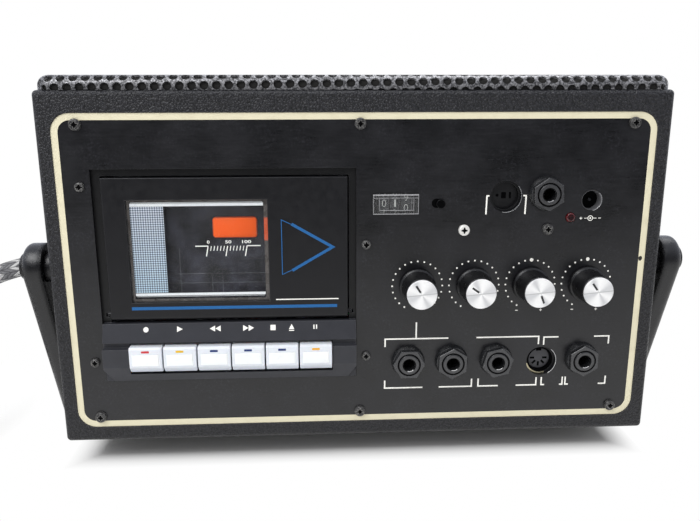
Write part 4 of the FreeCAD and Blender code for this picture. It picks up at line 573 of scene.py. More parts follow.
def plywood_finish():
    """Birch plywood: grain along the board and its layers on the edges."""
    f = Finish("plywood_finish", specular_ior_level=0.3)
    grain = f.grain(2.2, 5, 0.6, along=f.stretched(0.12, 1.0, 1.0))
    _, _, height = f.around()
    plies = ((height * 2.1).wave() + 1) * 0.5
    tan = f.blend(grain, colour(196, 164, 118), colour(160, 124, 80))
    f.set(base_color=f.blend(plies * 0.15, tan, colour(120, 86, 52)),
          roughness=f.span(grain, 0.3, 0.7, 0.55, 0.7))
    return f.bump(grain, 0.06)


def brass_finish():
    """Plain turned brass."""
    return steel_finish("brass_finish", colour(176, 142, 78), colour(212, 184, 118), rough=0.3)


def lamp_finish():
    """Unlit red lens, dark inside and a little paler at its rim, the paler rim a painted
    reflection.
    """
    f = Finish("lamp_finish", roughness=0.16, coat_roughness=0.06, coat_weight=0.5)
    x, _, height = f.around()
    out_x, out_z = (x - LAMP[0]) / LAMP_R, (height - LAMP[1]) / LAMP_R
    # Paler toward the rim: painted reflection.
    rim = (out_x * out_x + out_z * out_z).power(2)
    f.set(base_color=f.blend(f.span(f.grain(0.8, 3) + rim, 0.5, 1.3),
                             colour(26, 6, 8), colour(104, 24, 28)))
    return f.bump(f.grain(0.3, 2), 0.02)


def cone_finish():
    """Felted paper of the loudspeaker's cone."""
    f = Finish("cone_finish", specular_ior_level=0.2, sheen_weight=0.3)
    felt = f.grain(0.8, 6, 0.75)
    f.set(base_color=f.blend(felt, colour(16, 16, 16), colour(38, 37, 36)),
          roughness=f.span(felt, 0.3, 0.7, 0.85, 0.95))
    return f.bump(felt, 0.15)


def board_finish():
    """Green circuit board with pale tracks under its lacquer."""
    f = Finish("board_finish", coat_weight=0.3, coat_roughness=0.2)
    x, depth, _ = f.around()
    lanes = ((x / 3.1).fraction() < 0.3) * (f.grain(9, 0) > 0.5)
    rungs = ((depth / 3.7).fraction() < 0.22) * (f.grain(13, 0) > 0.55)
    tracks = lanes.largest(rungs)
    f.set(base_color=f.blend(tracks, colour(26, 74, 42), colour(52, 112, 62)),
          roughness=f.span(f.grain(4, 3), 0.3, 0.7, 0.4, 0.55))
    return f.bump(tracks, 0.05)


def sleeve_finish():
    """Shrunk sleeve of the smoothing capacitors with a pale polarity band."""
    f = Finish("sleeve_finish", specular_ior_level=0.5)
    _, depth, _ = f.around()
    band = (depth / BAND_PITCH).fraction() < 0.2
    f.set(base_color=f.blend(band * 0.8, colour(24, 40, 84), colour(186, 190, 196)),
          roughness=f.span(f.grain(3, 3), 0.3, 0.7, 0.28, 0.4))
    return f.bump(f.grain(6, 2), 0.08)


def braid_finish():
    """Herringbone braid of grey and white yarn, laid out along the cord, darker where the yarns dip
    as painted shade.
    """
    f = Finish("braid_finish", specular_ior_level=0.15, sheen_weight=0.25, sheen_roughness=0.5)
    along, round_, _ = f.axes(f.add("ShaderNodeTexCoord", output="UV"))
    lengthwise = along * (CORD_LENGTH / MM / BRAID_PITCH)
    column = round_ * BRAID_COLUMNS
    side = (column / 2).fraction() < 0.5
    lean = (side * 2 - 1) * (column.fraction() - 0.5)
    yarn = lengthwise + lean * BRAID_LEAN
    crown = (yarn.fraction() - 0.5).size()
    valley = (column.fraction() - 0.5).size()
    relief = f.span(crown, 0.5, 0.1) * f.span(valley, 0.5, 0.3)
    pale = (yarn / 3).fraction() < 0.34
    fuzz = f.grain(0.5, 4, 0.7)
    mixed = f.blend(pale, colour(104, 104, 108), colour(214, 214, 214))
    # Painted shade in the dips between the yarns.
    crevice_shade = f.span(relief, 0.6, 0.0) * 0.7
    woolly = f.blend(fuzz * 0.4, mixed, colour(160, 160, 164))
    f.set(base_color=f.blend(crevice_shade, woolly, colour(40, 40, 44)),
          roughness=f.span(fuzz, 0.3, 0.7, 0.75, 0.9))
    return f.bump(relief * 0.8 + fuzz * 0.2, 0.5)


covering = covering_finish()
cone_felt = cone_finish()
panel_paint = panel_finish()
bezel_plastic = bezel_finish()
door_plastic = door_finish()
key_plastic = key_finish()
cream_line = line_finish()
white_ink = print_finish("white_ink", colour(255, 254, 248), colour(150, 148, 146))
blue_ink = print_finish("blue_ink", colour(28, 98, 160), colour(20, 60, 104), wear=0.4)
silver_ink = print_finish("silver_ink", colour(246, 247, 250), colour(186, 188, 196), wear=0.4)
red_ink = print_finish("red_ink", colour(206, 58, 66), colour(150, 60, 60), wear=0.2)
yellow_ink = print_finish("yellow_ink", colour(232, 190, 52), colour(190, 150, 60), wear=0.2)
navy_ink = print_finish("navy_ink", colour(40, 60, 116), colour(60, 70, 110), wear=0.2)
amber_ink = print_finish("amber_ink", colour(238, 172, 44), colour(200, 140, 50), wear=0.2)
orange_plastic = moulded_finish("orange_plastic", colour(255, 92, 20), colour(255, 104, 30),
                                rough=0.45, shine=0.2)
black_plastic = moulded_finish("black_plastic_finish", colour(14, 14, 16), colour(24, 24, 26),
                               rough=0.36)
knob_plastic = moulded_finish("knob_plastic", colour(12, 12, 13), colour(22, 22, 24),
                              rough=0.3, relief=0.02, shine=0.5)
handle_plastic = moulded_finish("handle_finish", colour(14, 14, 16), colour(23, 23, 26),
                                rough=0.27, relief=0.02, shine=0.5, edge=4.5)
digit_white = print_finish("digit_white", colour(206, 206, 202), colour(150, 150, 148), wear=0.3)
grille_paint = grille_finish()
screw_black = front_screw_finish()
zinc = steel_finish("zinc_finish", colour(150, 152, 156), colour(186, 188, 190), rough=0.36)
bright_steel = steel_finish("bright_steel_finish", colour(196, 197, 200), colour(222, 222, 224),
                            rough=0.22)
dark_steel = steel_finish("dark_steel_finish", colour(48, 48, 51), colour(70, 70, 73), rough=0.42)
wheel_grey = moulded_finish("wheel_grey", colour(40, 40, 42), colour(54, 54, 56), rough=0.45)
insert_grey = moulded_finish("insert_grey", colour(62, 62, 66), colour(80, 80, 84), rough=0.4)
pane_clear = clear_finish("pane_clear", milk=0.004, dusty=0.022, gloss=0.05)
lens_clear = clear_finish("lens_clear", milk=0.03, dusty=0.02, gloss=0.08)
halftone = strip_finish()
card = card_finish()
window_rim = rim_finish()
spun_aluminium = spun_finish()
pointer_ink = print_finish("pointer_ink", colour(44, 44, 46), colour(84, 84, 86), wear=0.4)
# Near black for the tape socket's lip and the reset button's face, and painted shade in holes, gaps
# and recesses.
black_and_painted_shade = print_finish("black_and_painted_shade", colour(3, 3, 4), colour(10, 10, 11))
black_and_painted_shade.set(specular_ior_level=0.05)
supply_grey = moulded_finish("supply_grey", colour(74, 74, 77), colour(104, 104, 107), rough=0.4)
painted_highlight_steel = steel_finish("painted_highlight_steel", colour(196, 196, 198), colour(232, 232, 232), rough=0.3)
brassy_highlight = steel_finish("brassy_highlight", colour(170, 160, 128), colour(214, 206, 178), rough=0.3)
edge_shine = print_finish("edge_shine", colour(160, 160, 163), colour(84, 84, 86), wear=0.7)
braid = braid_finish()
moulded_nut = nut_finish()

SLOT_FINISHES = {
    "plywood": plywood_finish(), "covering": covering, "rubber": rubber_finish(),
    "black_steel": dark_steel, "black_screw": screw_black, "black_plastic": black_plastic,
    "panel": panel_paint, "grey_plastic": bezel_plastic, "door_plastic": door_plastic,
    "clear": pane_clear, "zinc_steel": zinc, "bright_steel": bright_steel,
    "brass": brass_finish(), "red_lens": lamp_finish(), "grille_steel": grille_paint,
    "cone_paper": cone_felt, "board_green": board_finish(),
    "capacitor_sleeve": sleeve_finish(), "handle_plastic": handle_plastic, "braid": braid,
    "white_plastic": key_plastic}
NODE_FINISHES = {"cassette_holder": card, "counter_window": lens_clear, "jack_nuts": moulded_nut,
                 "jack_sockets": moulded_nut, "wheel_hundreds": wheel_grey,
                 "wheel_tens": wheel_grey, "wheel_units": wheel_grey}


def paint_nodes():
    """Every carried-over piece takes the finish of its slot, or its own."""
    for name, node in nodes.items():
        for place in node.material_slots:
            finish = NODE_FINISHES.get(name) or SLOT_FINISHES[place.material.name.split(".")[0]]
            place.material = finish.material


carrying_cord.data.materials.append(braid.material)
paint_nodes()


# ---------------------------------------------------------------- shapes
ROUND = 64            # points round a turned piece
ROUND_NUT = 48        # and round a nut, six of them its corners
ROUND_INSERT = 48     # and round a socket's insert


class Shape:
    """Points and faces of one piece, each point as x, depth and height in millimetres."""

    def __init__(self):
        self.points, self.faces = [], []

    def add(self, points, faces):
        """Faces that count their own points from 0."""
        start = len(self.points)
        self.points += points
        self.faces += [[start + index for index in face] for face in faces]
        return self

    def stack(self, rings, hoop=False):
        """Walls between rings of equally many points, closed by the end rings or into a hoop."""
        count = len(rings[0])
        faces = []
        for ring in range(len(rings) if hoop else len(rings) - 1):
            here, after = ring * count, (ring + 1) % len(rings) * count
            faces += [[here + i, here + (i + 1) % count, after + (i + 1) % count, after + i]
                      for i in range(count)]
        if not hoop:
            last = (len(rings) - 1) * count
            faces += [list(range(count)), list(range(last + count - 1, last - 1, -1))]
        return self.add([point for ring in rings for point in ring], faces)

    def outlines(self, sections, hoop=False):
        """A stack of (x, height) outlines, each at its depth or on a slope of depths."""
        return self.stack([[(x, depth(z) if callable(depth) else depth, z) for x, z in outline]
                           for outline, depth in sections], hoop)

    def slab(self, outline, front, back):
        """A closed plate with this outline."""
        return self.outlines([(outline, front), (outline, back)])

    def band(self, outer, inner, front, back):
        """A closed flat ring between two outlines with equally many points."""
        return self.outlines([(outer, front), (inner, front), (inner, back), (outer, back)],
                             hoop=True)

    def lathe(self, middle, profile, hoop=False):
        """Turns (radius, depth) points round the line through middle along the depth."""
        return self.outlines([(disc(*middle, radius, ROUND), depth) for radius, depth in profile],
                             hoop)

    def piece(self, name, finish, body, slot, sharp=30):
        """The finished piece on its body; edges that turn more than sharp degrees stay sharp."""
        mesh = bpy.data.meshes.new(name)
        mesh.from_pydata([(x * MM, (FRONT_Y + depth) * MM, z * MM) for x, depth, z in self.points],
                         [], self.faces)
        work = bmesh.new()
        work.from_mesh(mesh)
        bmesh.ops.recalc_face_normals(work, faces=work.faces)
        work.to_mesh(mesh)
        work.free()
        mesh.shade_smooth()
        mesh.set_sharp_from_angle(angle=math.radians(sharp))
        mesh.materials.append(finish.material)
        made = bpy.data.objects.new(name, mesh)
        bpy.context.scene.collection.objects.link(made)
        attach(made, body)
        return made


def rounded(x0, z0, x1, z1, radius, steps=8):
    """Rounded rectangle, round from its lower right corner."""
    outline = []
    corners = ((x1 - radius, z0 + radius, -90), (x1 - radius, z1 - radius, 0),
               (x0 + radius, z1 - radius, 90), (x0 + radius, z0 + radius, 180))
    for x, z, start in corners:
        for step in range(steps + 1):
            angle = math.radians(start + 90 * step / steps)
            outline.append((x + radius * math.cos(angle), z + radius * math.sin(angle)))
    return outline


def disc(x, z, radius, steps=24):
    """A circle as this many points."""
    return [(x + radius * math.cos(2 * math.pi * i / steps),
             z + radius * math.sin(2 * math.pi * i / steps)) for i in range(steps)]


def box(x0, z0, x1, z1):
    """A rectangle between two corners."""
    return [(x0, z0), (x1, z0), (x1, z1), (x0, z1)]


MITRE = 0.3           # limit that keeps the mitre of a tight corner short


def stroke(points, width):
    """Outline of a line this wide through the points, with mitred corners."""
    path = [Vector(point) for point in points]
    runs = [(after - before).normalized() for before, after in zip(path, path[1:])]
    left, right = [], []
    for index, point in enumerate(path):
        into, out = runs[max(index - 1, 0)], runs[min(index, len(runs) - 1)]
        across = (Vector((-into.y, into.x)) + Vector((-out.y, out.x))).normalized()
        reach = width / 2 / max(across.dot(Vector((-into.y, into.x))), MITRE)
        left.append(tuple(point + across * reach))
        right.append(tuple(point - across * reach))
    return right + left[::-1]


INK = 0.05            # how far print stands proud
SUNK = 0.04           # and how far it reaches into what carries it


def printed(name, outlines, face, finish, body, slot, rings=()):
    """Ink laid on a face at a depth, or on a slope that gives a depth for each height."""
    shape = Shape()
    lift = (lambda z: face(z) - INK) if callable(face) else face - INK
    sink = (lambda z: face(z) + SUNK) if callable(face) else face + SUNK
    for outline in outlines:
        shape.slab(outline, lift, sink)
    for outer, inner in rings:
        shape.band(outer, inner, lift, sink)
    shape.piece(name, finish, body, slot)


LETTER_BANDS = 8      # level bands that a letter is cut into, so that it can bend round a wheel


def lettering(text, width, height, swell):
    """Letters as points and faces that fill a width and a height round their middle.

    They are 1 deep, and swell makes their strokes bolder, or thinner where it is less than 0.
    """
    line = bpy.data.curves.new("lettering", "FONT")
    line.body, line.extrude, line.offset = text, 0.5, swell
    line.resolution_u = 4
    holder = bpy.data.objects.new("lettering", line)
    mesh = bpy.data.meshes.new_from_object(holder)
    bpy.data.objects.remove(holder)
    work = bmesh.new()
    work.from_mesh(mesh)
    bmesh.ops.remove_doubles(work, verts=work.verts, dist=1e-5)
    low = [min(v.co[i] for v in work.verts) for i in (0, 1)]
    high = [max(v.co[i] for v in work.verts) for i in (0, 1)]
    for v in work.verts:
        v.co = ((v.co.x - (low[0] + high[0]) / 2) * width / (high[0] - low[0]),
                (v.co.y - (low[1] + high[1]) / 2) * height / (high[1] - low[1]), v.co.z)
    for level in range(1 - LETTER_BANDS // 2, LETTER_BANDS // 2):
        whole = work.verts[:] + work.edges[:] + work.faces[:]
        bmesh.ops.bisect_plane(work, geom=whole, plane_co=(0, level * height / LETTER_BANDS, 0),
                               plane_no=(0, 1, 0))
    work.verts.index_update()
    points = [tuple(v.co) for v in work.verts]
    faces = [[v.index for v in face.verts] for face in work.faces]
    work.free()
    bpy.data.meshes.remove(mesh)
    return points, faces


# ---------------------------------------------------------------- front panel print
PANEL_HALF = 157.2
PANEL_LOW, PANEL_HIGH = 25.6, 197.8
PANEL_FACE = 0.5
LINE_W = 3.5
LINE_IN = 0.12        # bare panel outside the border
LINE_CORNER, CORNER_STEPS = 10.0, 12

WHITE_LINE = 0.8
# Left and right ends, the two sides of the gap, the level, and where the ends turn to.
BRACKETS = ((14.0, 100.7, 49.4, 65.3, 74.2, 69.6), (103.7, 140.9, 112.0, 132.4, 73.7, 69.1),
            (14.0, 63.5, 35.5, 44.8, 45.0, 49.6), (67.3, 100.7, 78.7, 89.1, 45.0, 49.6),
            (103.7, 115.9, 105.6, 114.2, 45.0, 49.6), (117.6, 140.9, 119.4, 136.9, 45.0, 49.6))
LEAD_LOW, LEAD_HIGH = 74.6, 83.8      # from the upper bracket to the input knob
SPEAKER_ARMS = (((69.0, 153.9), (67.7, 153.9), (67.5, 143.9)),
                ((87.3, 153.9), (88.9, 153.9), (88.7, 143.9)))
DIAL_R, DIAL_DOT_R, MIDDLE_DOT_R = 13.8, 0.48, 1.0
DIAL_SIDE, DIAL_STEP = 10, 15         # dots on each side of the top one, and degrees between them
DIAL_SIGN_X, DIAL_SIGN_DOWN = 6.8, 14.9
SIGN_HALF, SIGN_THIN, SIGN_GAP = 0.75, 0.18, 0.2
POLARITY_X, POLARITY_Z = 124.8, 141.3
POLARITY_PLUS, POLARITY_MINUS = 119.6, 129.9
POLARITY_ARMS, ARM_THIN = ((121.4, 123.3), (126.3, 128.2)), 0.15
POLARITY_DOT, POLARITY_RING = 0.5, (1.5, 1.15)


def print_border():
    """The cream border just inside the panel's edge."""
    edges = []
    for inset in (LINE_IN, LINE_IN + LINE_W):
        edges.append(rounded(-PANEL_HALF + inset, PANEL_LOW + inset, PANEL_HALF - inset,
                             PANEL_HIGH - inset, LINE_CORNER - inset,
                             steps=CORNER_STEPS))
    printed("border_line", [], PANEL_FACE, cream_line, "cabinet", "panel", [edges])


def bracket(left, right, gap_left, gap_right, level, drop):
    """A bracket line with its ends turned to drop and a gap in its middle."""
    return [stroke([(left, drop), (left, level), (gap_left, level)], WHITE_LINE),
            stroke([(gap_right, level), (right, level), (right, drop)], WHITE_LINE)]


def sign(x, z, plus):
    """A small plus or minus."""
    marks = [box(x - SIGN_HALF, z - SIGN_THIN, x + SIGN_HALF, z + SIGN_THIN)]
    if plus:
        marks.append(box(x - SIGN_THIN, z + SIGN_GAP, x + SIGN_THIN, z + SIGN_HALF))
        marks.append(box(x - SIGN_THIN, z - SIGN_HALF, x + SIGN_THIN, z - SIGN_GAP))
    return marks


def print_panel():
    """White brackets, dial dots and signs on the panel."""
    lines = []
    for row in BRACKETS:
        lines += bracket(*row)
    half = WHITE_LINE / 2
    lines.append(box(KNOB_XS[0] - half, LEAD_LOW, KNOB_XS[0] + half, LEAD_HIGH))
    lines += [stroke(arm, WHITE_LINE) for arm in SPEAKER_ARMS]
    for number, x in enumerate(KNOB_XS):
        tone = number > 1         # bass and treble have a middle setting
        for step in range(-DIAL_SIDE, DIAL_SIDE + 1):
            angle = math.radians(DIAL_STEP * step)
            lines.append(disc(x + DIAL_R * math.sin(angle), KNOB_Z + DIAL_R * math.cos(angle),
                              MIDDLE_DOT_R if tone and not step else DIAL_DOT_R))
        if tone:
            lines += sign(x - DIAL_SIGN_X, KNOB_Z - DIAL_SIGN_DOWN, False)
            lines += sign(x + DIAL_SIGN_X, KNOB_Z - DIAL_SIGN_DOWN, True)
    lines += sign(POLARITY_PLUS, POLARITY_Z, True) + sign(POLARITY_MINUS, POLARITY_Z, False)
    lines += [box(start, POLARITY_Z - ARM_THIN, end, POLARITY_Z + ARM_THIN)
              for start, end in POLARITY_ARMS]
    lines.append(disc(POLARITY_X, POLARITY_Z, POLARITY_DOT))
    ring = [disc(POLARITY_X, POLARITY_Z, radius) for radius in POLARITY_RING]
    printed("panel_marks", lines, PANEL_FACE, white_ink, "cabinet", "panel", [ring])


# ---------------------------------------------------------------- screws and round sockets
# The panel's six screws, then those of the deck and the spare ones.
SCREWS = [(x, z) for x in (-144.6, 0.0, 144.6) for z in (192.0, 31.7)]
SCREWS += [(-145.0, 160.4), (3.3, 128.2), (-145.0, 64.0), (3.3, 64.8), ZINC_SCREW, (101.6, 135.5)]
HEAD_FACE, RECESS_FLOOR, RECESS_LONG, RECESS_WIDE = -1.4, -0.4, 1.6, 0.42
HEART_LONG, HEART_WIDE, HEART_TIP = 1.65, 0.62, 0.3

JACKS = ((26.9, 61.0), (51.4, 61.0), (76.7, 61.0), (125.6, 61.0), (99.5, 155.0))
NUT_TURNED = (0, 28, 14, 31, 34)      # degrees that each nut is turned
NUT_R, NOSE_R, NOSE_GAP_R = 9.0, 5.75, 6.45
NUT_FACE, NOSE_FACE, JACK_BORE_R = -5.7, -6.0, 3.3
NUT_H = 3.1
NUT_EDGES = ((0.3, 0.0), (0.0, 0.25), (0.0, 2.8), (0.3, NUT_H))     # inset and depth
SHOULDER = ((9.3, 0.48), (9.3, -0.5), (9.0, -1.6), (8.5, -2.62), (NOSE_R, -2.62),
            (NOSE_R, 0.48))           # radius and depth
MOUTH_INNER, MOUTH_OUTER = 0.02, 0.45           # painted shade ring round a jack's bore
GLINT_OUT, GLINT_TURNS, GLINT_W = 0.3, (-105, -50), 0.4

TAPE_SOCKET, SPEAKER_SOCKET = (102.8, 59.6), (77.9, 153.5)
DIN_HOLE_R, DIN_MOUTH_R, DIN_INSERT_D = 8.5, 7.4, 5.5
SUPPLY_SOCKET, SUPPLY_R = (124.8, 151.0), 5.5
HIGHLIGHT_LINE = 0.3       # painted highlight arcs of bright metal on the holes' rims
HIGHLIGHT_ARCS = ((SPEAKER_SOCKET, DIN_HOLE_R + 0.12, -100, 40),
              (TAPE_SOCKET, DIN_HOLE_R + 0.12, -60, 50),
              (SUPPLY_SOCKET, SUPPLY_R + 0.1, -80, 45))     # middle, radius, start and end
# Brassy painted highlight inside the tape socket: angles, width and depth.
BRASSY_TURNS, BRASSY_W, BRASSY_D = (195, 290), 0.9, 2.42
INSERT_FIT = 0.05     # clearance round what sits in a socket
LIP_W, LIP_FRONT, LIP_CLEAR = 1.1, 3.2, 0.02
CONTACT_TURNS, CONTACT_REACH, CONTACT_W = (180, 225, 270, 315, 360), (2.3, 4.9), 1.2
KEYWAY = (-1.5, 4.2, 1.5, 6.0)        # from the tape socket's middle
# The loudspeaker socket's blade, block and pin, from its middle.
SPEAKER_BLADE = (2.9, -1.7, 4.1, 1.7)
SPEAKER_BLOCK, SPEAKER_BLOCK_ROUND = (-1.3, -1.7, 1.3, 1.7), 0.4
SPEAKER_PIN, SPEAKER_PIN_R = -3.5, 0.8
# Radius and depth again for the low voltage socket's pin and mouth.
SUPPLY_HOLLOW_R, SUPPLY_DEEP = 4.9, 5.5
SUPPLY_PIN = ((0.6, 3.4), (0.9, 3.7), (0.9, 5.6))
SUPPLY_MOUTH = ((5.0, SUPPLY_DEEP), (5.1, 0.9), (5.4, 0.52), (SUPPLY_R, 0.7), (SUPPLY_R, 16.0))
RESET_HOLE, RESET_HOLE_R = (40.6, 150.2), 2.5
RESET_BUTTON, RESET_FACE, RESET_FACE_R, RESET_RING = (42.9, 149.95), -1.1, 1.7, (2.2, 1.75)


def line_recesses():
    """Painted shade: dark floors in the screws' cross recesses, and dark stars where the cross is
    widest.
    """
    crosses = []
    for x, z in SCREWS:
        across = [(RECESS_WIDE, RECESS_LONG), (RECESS_WIDE, RECESS_WIDE),
                  (RECESS_LONG, RECESS_WIDE)]
        quarter = across + [(out, -up) for out, up in reversed(across)]
        crosses.append([(x + out, z + up) for out, up in quarter]
                       + [(x - out, z - up) for out, up in quarter])
    printed("screw_crosses", crosses, RECESS_FLOOR, black_and_painted_shade, "cabinet", "black_screw")
    hearts = []
    for x, z in SCREWS:
        tips = [(HEART_LONG, HEART_TIP), (HEART_WIDE, HEART_WIDE), (HEART_TIP, HEART_LONG)]
        quarter = tips + [(-out, up) for out, up in reversed(tips)]
        hearts.append([(x + out, z + up) for out, up in quarter]
                      + [(x - out, z - up) for out, up in quarter])
    printed("screw_hearts", hearts, HEAD_FACE, black_and_painted_shade, "cabinet", "black_screw")


ARC_STEPS = 12


def arc(middle, radius, start, end, width):
    """A line this wide along part of a circle, between two angles in degrees."""
    turns = [math.radians(start + (end - start) * step / ARC_STEPS)
             for step in range(ARC_STEPS + 1)]
    return stroke([(middle[0] + radius * math.cos(turn), middle[1] + radius * math.sin(turn))
                   for turn in turns], width)


def nut_line(middle, radius, turned):
    """Hexagon with its corners at a radius, in as many points as its bore has."""
    line = []
    for i in range(ROUND_NUT):
        on_side = math.radians(360 * i / ROUND_NUT % 60 - 30)
        reach = radius * math.cos(math.radians(30)) / math.cos(on_side)
        angle = math.radians(360 * i / ROUND_NUT + turned)
        line.append((middle[0] + reach * math.cos(angle), middle[1] + reach * math.sin(angle)))
    return line


def fit_nuts():
    """Hexagonal nuts on round shoulders, their faces flush with the jacks' noses."""
    shape = Shape()
    for middle, turned in zip(JACKS, NUT_TURNED):
        bore = []
        for i in range(ROUND_NUT):
            angle = math.radians(360 * i / ROUND_NUT + turned)
            bore.append((middle[0] + NOSE_R * math.cos(angle),
                         middle[1] + NOSE_R * math.sin(angle)))
        lines = [(nut_line(middle, NUT_R - inset, turned), NUT_FACE + depth)
                 for inset, depth in NUT_EDGES]
        shape.outlines(lines + [(bore, NUT_FACE + NUT_H), (bore, NUT_FACE)], hoop=True)
        shape.lathe(middle, SHOULDER, hoop=True)
    nuts = shape.piece("hexagon_nuts", moulded_nut, "cabinet", "black_plastic", sharp=20)
    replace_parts(nuts, "jack_nuts")
    # Painted shade in the gap between each nut and its nose, and round each bore.
    gaps = [(disc(*middle, NOSE_GAP_R, ROUND), disc(*middle, NOSE_R, ROUND)) for middle in JACKS]
    printed("nose_gaps", [], NUT_FACE, black_and_painted_shade, "cabinet", "black_plastic", gaps)
    mouths = [(disc(*middle, JACK_BORE_R + MOUTH_OUTER, ROUND),
               disc(*middle, JACK_BORE_R + MOUTH_INNER, ROUND)) for middle in JACKS]
    printed("nose_mouths", [], NOSE_FACE, black_and_painted_shade, "cabinet", "black_plastic", mouths)
    # Painted glints: bright metal arcs at the lower right of each bore.
    glints = [arc(middle, JACK_BORE_R + GLINT_OUT, *GLINT_TURNS, GLINT_W) for middle in JACKS]
    printed("nose_glints", glints, NOSE_FACE - INK, painted_highlight_steel, "cabinet", "black_plastic")


def moved(bounds, middle):
    """A rectangle's four bounds moved from 0, 0 to a middle."""
    x, z = middle
    return x + bounds[0], z + bounds[1], x + bounds[2], z + bounds[3]


def bare_holes():
    """Painted highlights: bright metal arcs on one side of three holes' rims, and a brassy one
    inside the tape socket's.
    """
    edges = [arc(*edge, HIGHLIGHT_LINE) for edge in HIGHLIGHT_ARCS]
    printed("highlight_arcs", edges, PANEL_FACE, painted_highlight_steel, "cabinet", "panel")
    printed("brassy_highlight", [arc(TAPE_SOCKET, (DIN_HOLE_R + DIN_MOUTH_R) / 2, *BRASSY_TURNS,
                                BRASSY_W)], BRASSY_D, brassy_highlight, "cabinet", "brass")


def fit_din_inserts():
    """The tape socket's lip and both round sockets' inserts and contacts."""
    lip = Shape().band(disc(*TAPE_SOCKET, DIN_MOUTH_R - INSERT_FIT, ROUND),
                       disc(*TAPE_SOCKET, DIN_MOUTH_R - LIP_W, ROUND), LIP_FRONT,
                       DIN_INSERT_D - LIP_CLEAR)
    lip.piece("tape_lip", black_and_painted_shade, "cabinet", "black_plastic")
    printed("tape_insert",
            [disc(*TAPE_SOCKET, DIN_MOUTH_R - LIP_W - 2 * INSERT_FIT, ROUND_INSERT)],
            DIN_INSERT_D - SUNK, insert_grey, "cabinet", "black_plastic")
    printed("speaker_insert", [disc(*SPEAKER_SOCKET, DIN_MOUTH_R - INSERT_FIT, ROUND_INSERT)],
            DIN_INSERT_D - SUNK, black_plastic, "cabinet", "black_plastic")
    # Contact holes, keyway and the loudspeaker socket's openings are printed black: painted shade
    # in them.
    x, z = TAPE_SOCKET
    contacts = []
    for turned in CONTACT_TURNS:
        angle = math.radians(turned)
        contacts.append(stroke([(x + math.cos(angle) * reach, z + math.sin(angle) * reach)
                                for reach in CONTACT_REACH], CONTACT_W))
    contacts.append(box(*moved(KEYWAY, TAPE_SOCKET)))
    x, z = SPEAKER_SOCKET
    contacts += [box(*moved(SPEAKER_BLADE, SPEAKER_SOCKET)),
                 disc(x + SPEAKER_PIN, z, SPEAKER_PIN_R),
                 rounded(*moved(SPEAKER_BLOCK, SPEAKER_SOCKET), SPEAKER_BLOCK_ROUND)]
    printed("socket_contacts", contacts, DIN_INSERT_D - SUNK - INK, black_and_painted_shade, "cabinet",
            "black_plastic")


def fit_small_holes():
    """The reset button's hole and dark ring, and the low voltage socket with its pin; the hole and
    the socket's hollow are printed dark as painted shade.
    """
    printed("reset_hole", [disc(*RESET_HOLE, RESET_HOLE_R)], PANEL_FACE, black_and_painted_shade, "cabinet",
            "panel")
    printed("supply_hollow", [disc(*SUPPLY_SOCKET, SUPPLY_HOLLOW_R, ROUND)], SUPPLY_DEEP,
            black_and_painted_shade, "cabinet", "black_plastic")
    pin = Shape().lathe(SUPPLY_SOCKET, SUPPLY_PIN)
    pin.piece("supply_pin", dark_steel, "cabinet", "brass")
    printed("reset_face", [disc(*RESET_BUTTON, RESET_FACE_R)], RESET_FACE, black_and_painted_shade, "reset",
            "black_plastic", [[disc(*RESET_BUTTON, radius) for radius in RESET_RING]])
    mouth = Shape().lathe(SUPPLY_SOCKET, SUPPLY_MOUTH)
    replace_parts(mouth.piece("supply_mouth", supply_grey, "cabinet", "black_plastic"),
                "supply_socket")


# ---------------------------------------------------------------- cassette deck
DOOR_FACE = 0.0
PANE_BACK = 2.2
KEY_BODIES = ("record", "play", "rewind", "forward", "stop", "pause")
KEY_FACE = -6.8
KEY_MARK_HALF, KEY_MARK_LOW, KEY_MARK_HIGH, KEY_MARK_ROUND = 2.1, 71.4, 72.6, 0.3

# The grey strip's depth at its upper edge, and how far forward it comes with each millimetre down.
STRIP_START, STRIP_LEAN = -0.3, 3.2 / 9.9
SYMBOL_Z = 82.9
RECORD_DOT, RECORD_DOT_R = -116.2, 1.4
PLAY, PLAY_W, PLAY_H = -98.0, 3.1, 3.0
REWIND, FORWARD, PAIR_W, PAIR_H = (-80.5, -77.5), (-62.5, -59.5), 2.9, 3.1
STOP_LEFT, STOP_RIGHT, STOP_HALF = -49.1, -46.3, 1.4
EJECT_BAR, EJECT_ARROW = (-39.0, -1.9, -36.2, -1.45), ((-39.1, -1.0), (-36.1, -1.0), (-37.6, 1.7))
PAUSE, PAUSE_THIN, PAUSE_HALF = (-25.4, -24.0), 0.32, 1.15

DOOR_STRIPE, DOOR_UNDERLINE = (-123.1, 93.6, -12.6, 95.3), (-45.7, 98.1, -11.8, 98.7)
ARROW, ARROW_W = ((-36.6, 139.9), (-14.8, 127.2), (-36.6, 114.5)), 1.5
ARROW_BACK, ARROW_BACK_W = ((-36.9, 139.8), (-41.9, 142.2), (-41.9, 112.4), (-36.9, 114.7)), 0.4
WINDOW_BARS = ((-121.0, 149.6, -51.4, 151.2), (-120.6, 151.45, -51.8, 151.7),
               (-121.0, 100.9, -51.4, 102.3), (-120.6, 100.3, -51.8, 100.55))
STRIP = (-121.0, 102.6, -103.7, 149.5)
RIM = ((-122.6, 97.7, -49.2, 153.0), (-121.2, 99.3, -51.2, 151.9))
SCALE_Z, SCALE_LEFT, SCALE_W, SCALE_TICKS = 128.0, -81.2, 20.7, 12
SCALE_ARMS, SCALE_HALF = ((-88.0, -81.2), (-60.5, -53.3)), 0.28
TICK_LONG, TICK_SHORT, TICK_LEAN = (5.6, 0.56), (2.6, 0.42), 1.1    # length and width of a tick
FIGURES = (("0", -81.0, 1.4), ("50", -70.4, 3.3), ("100", -60.7, 4.8))      # middle and width
FIGURES_Z, FIGURES_H = 130.2, 1.7
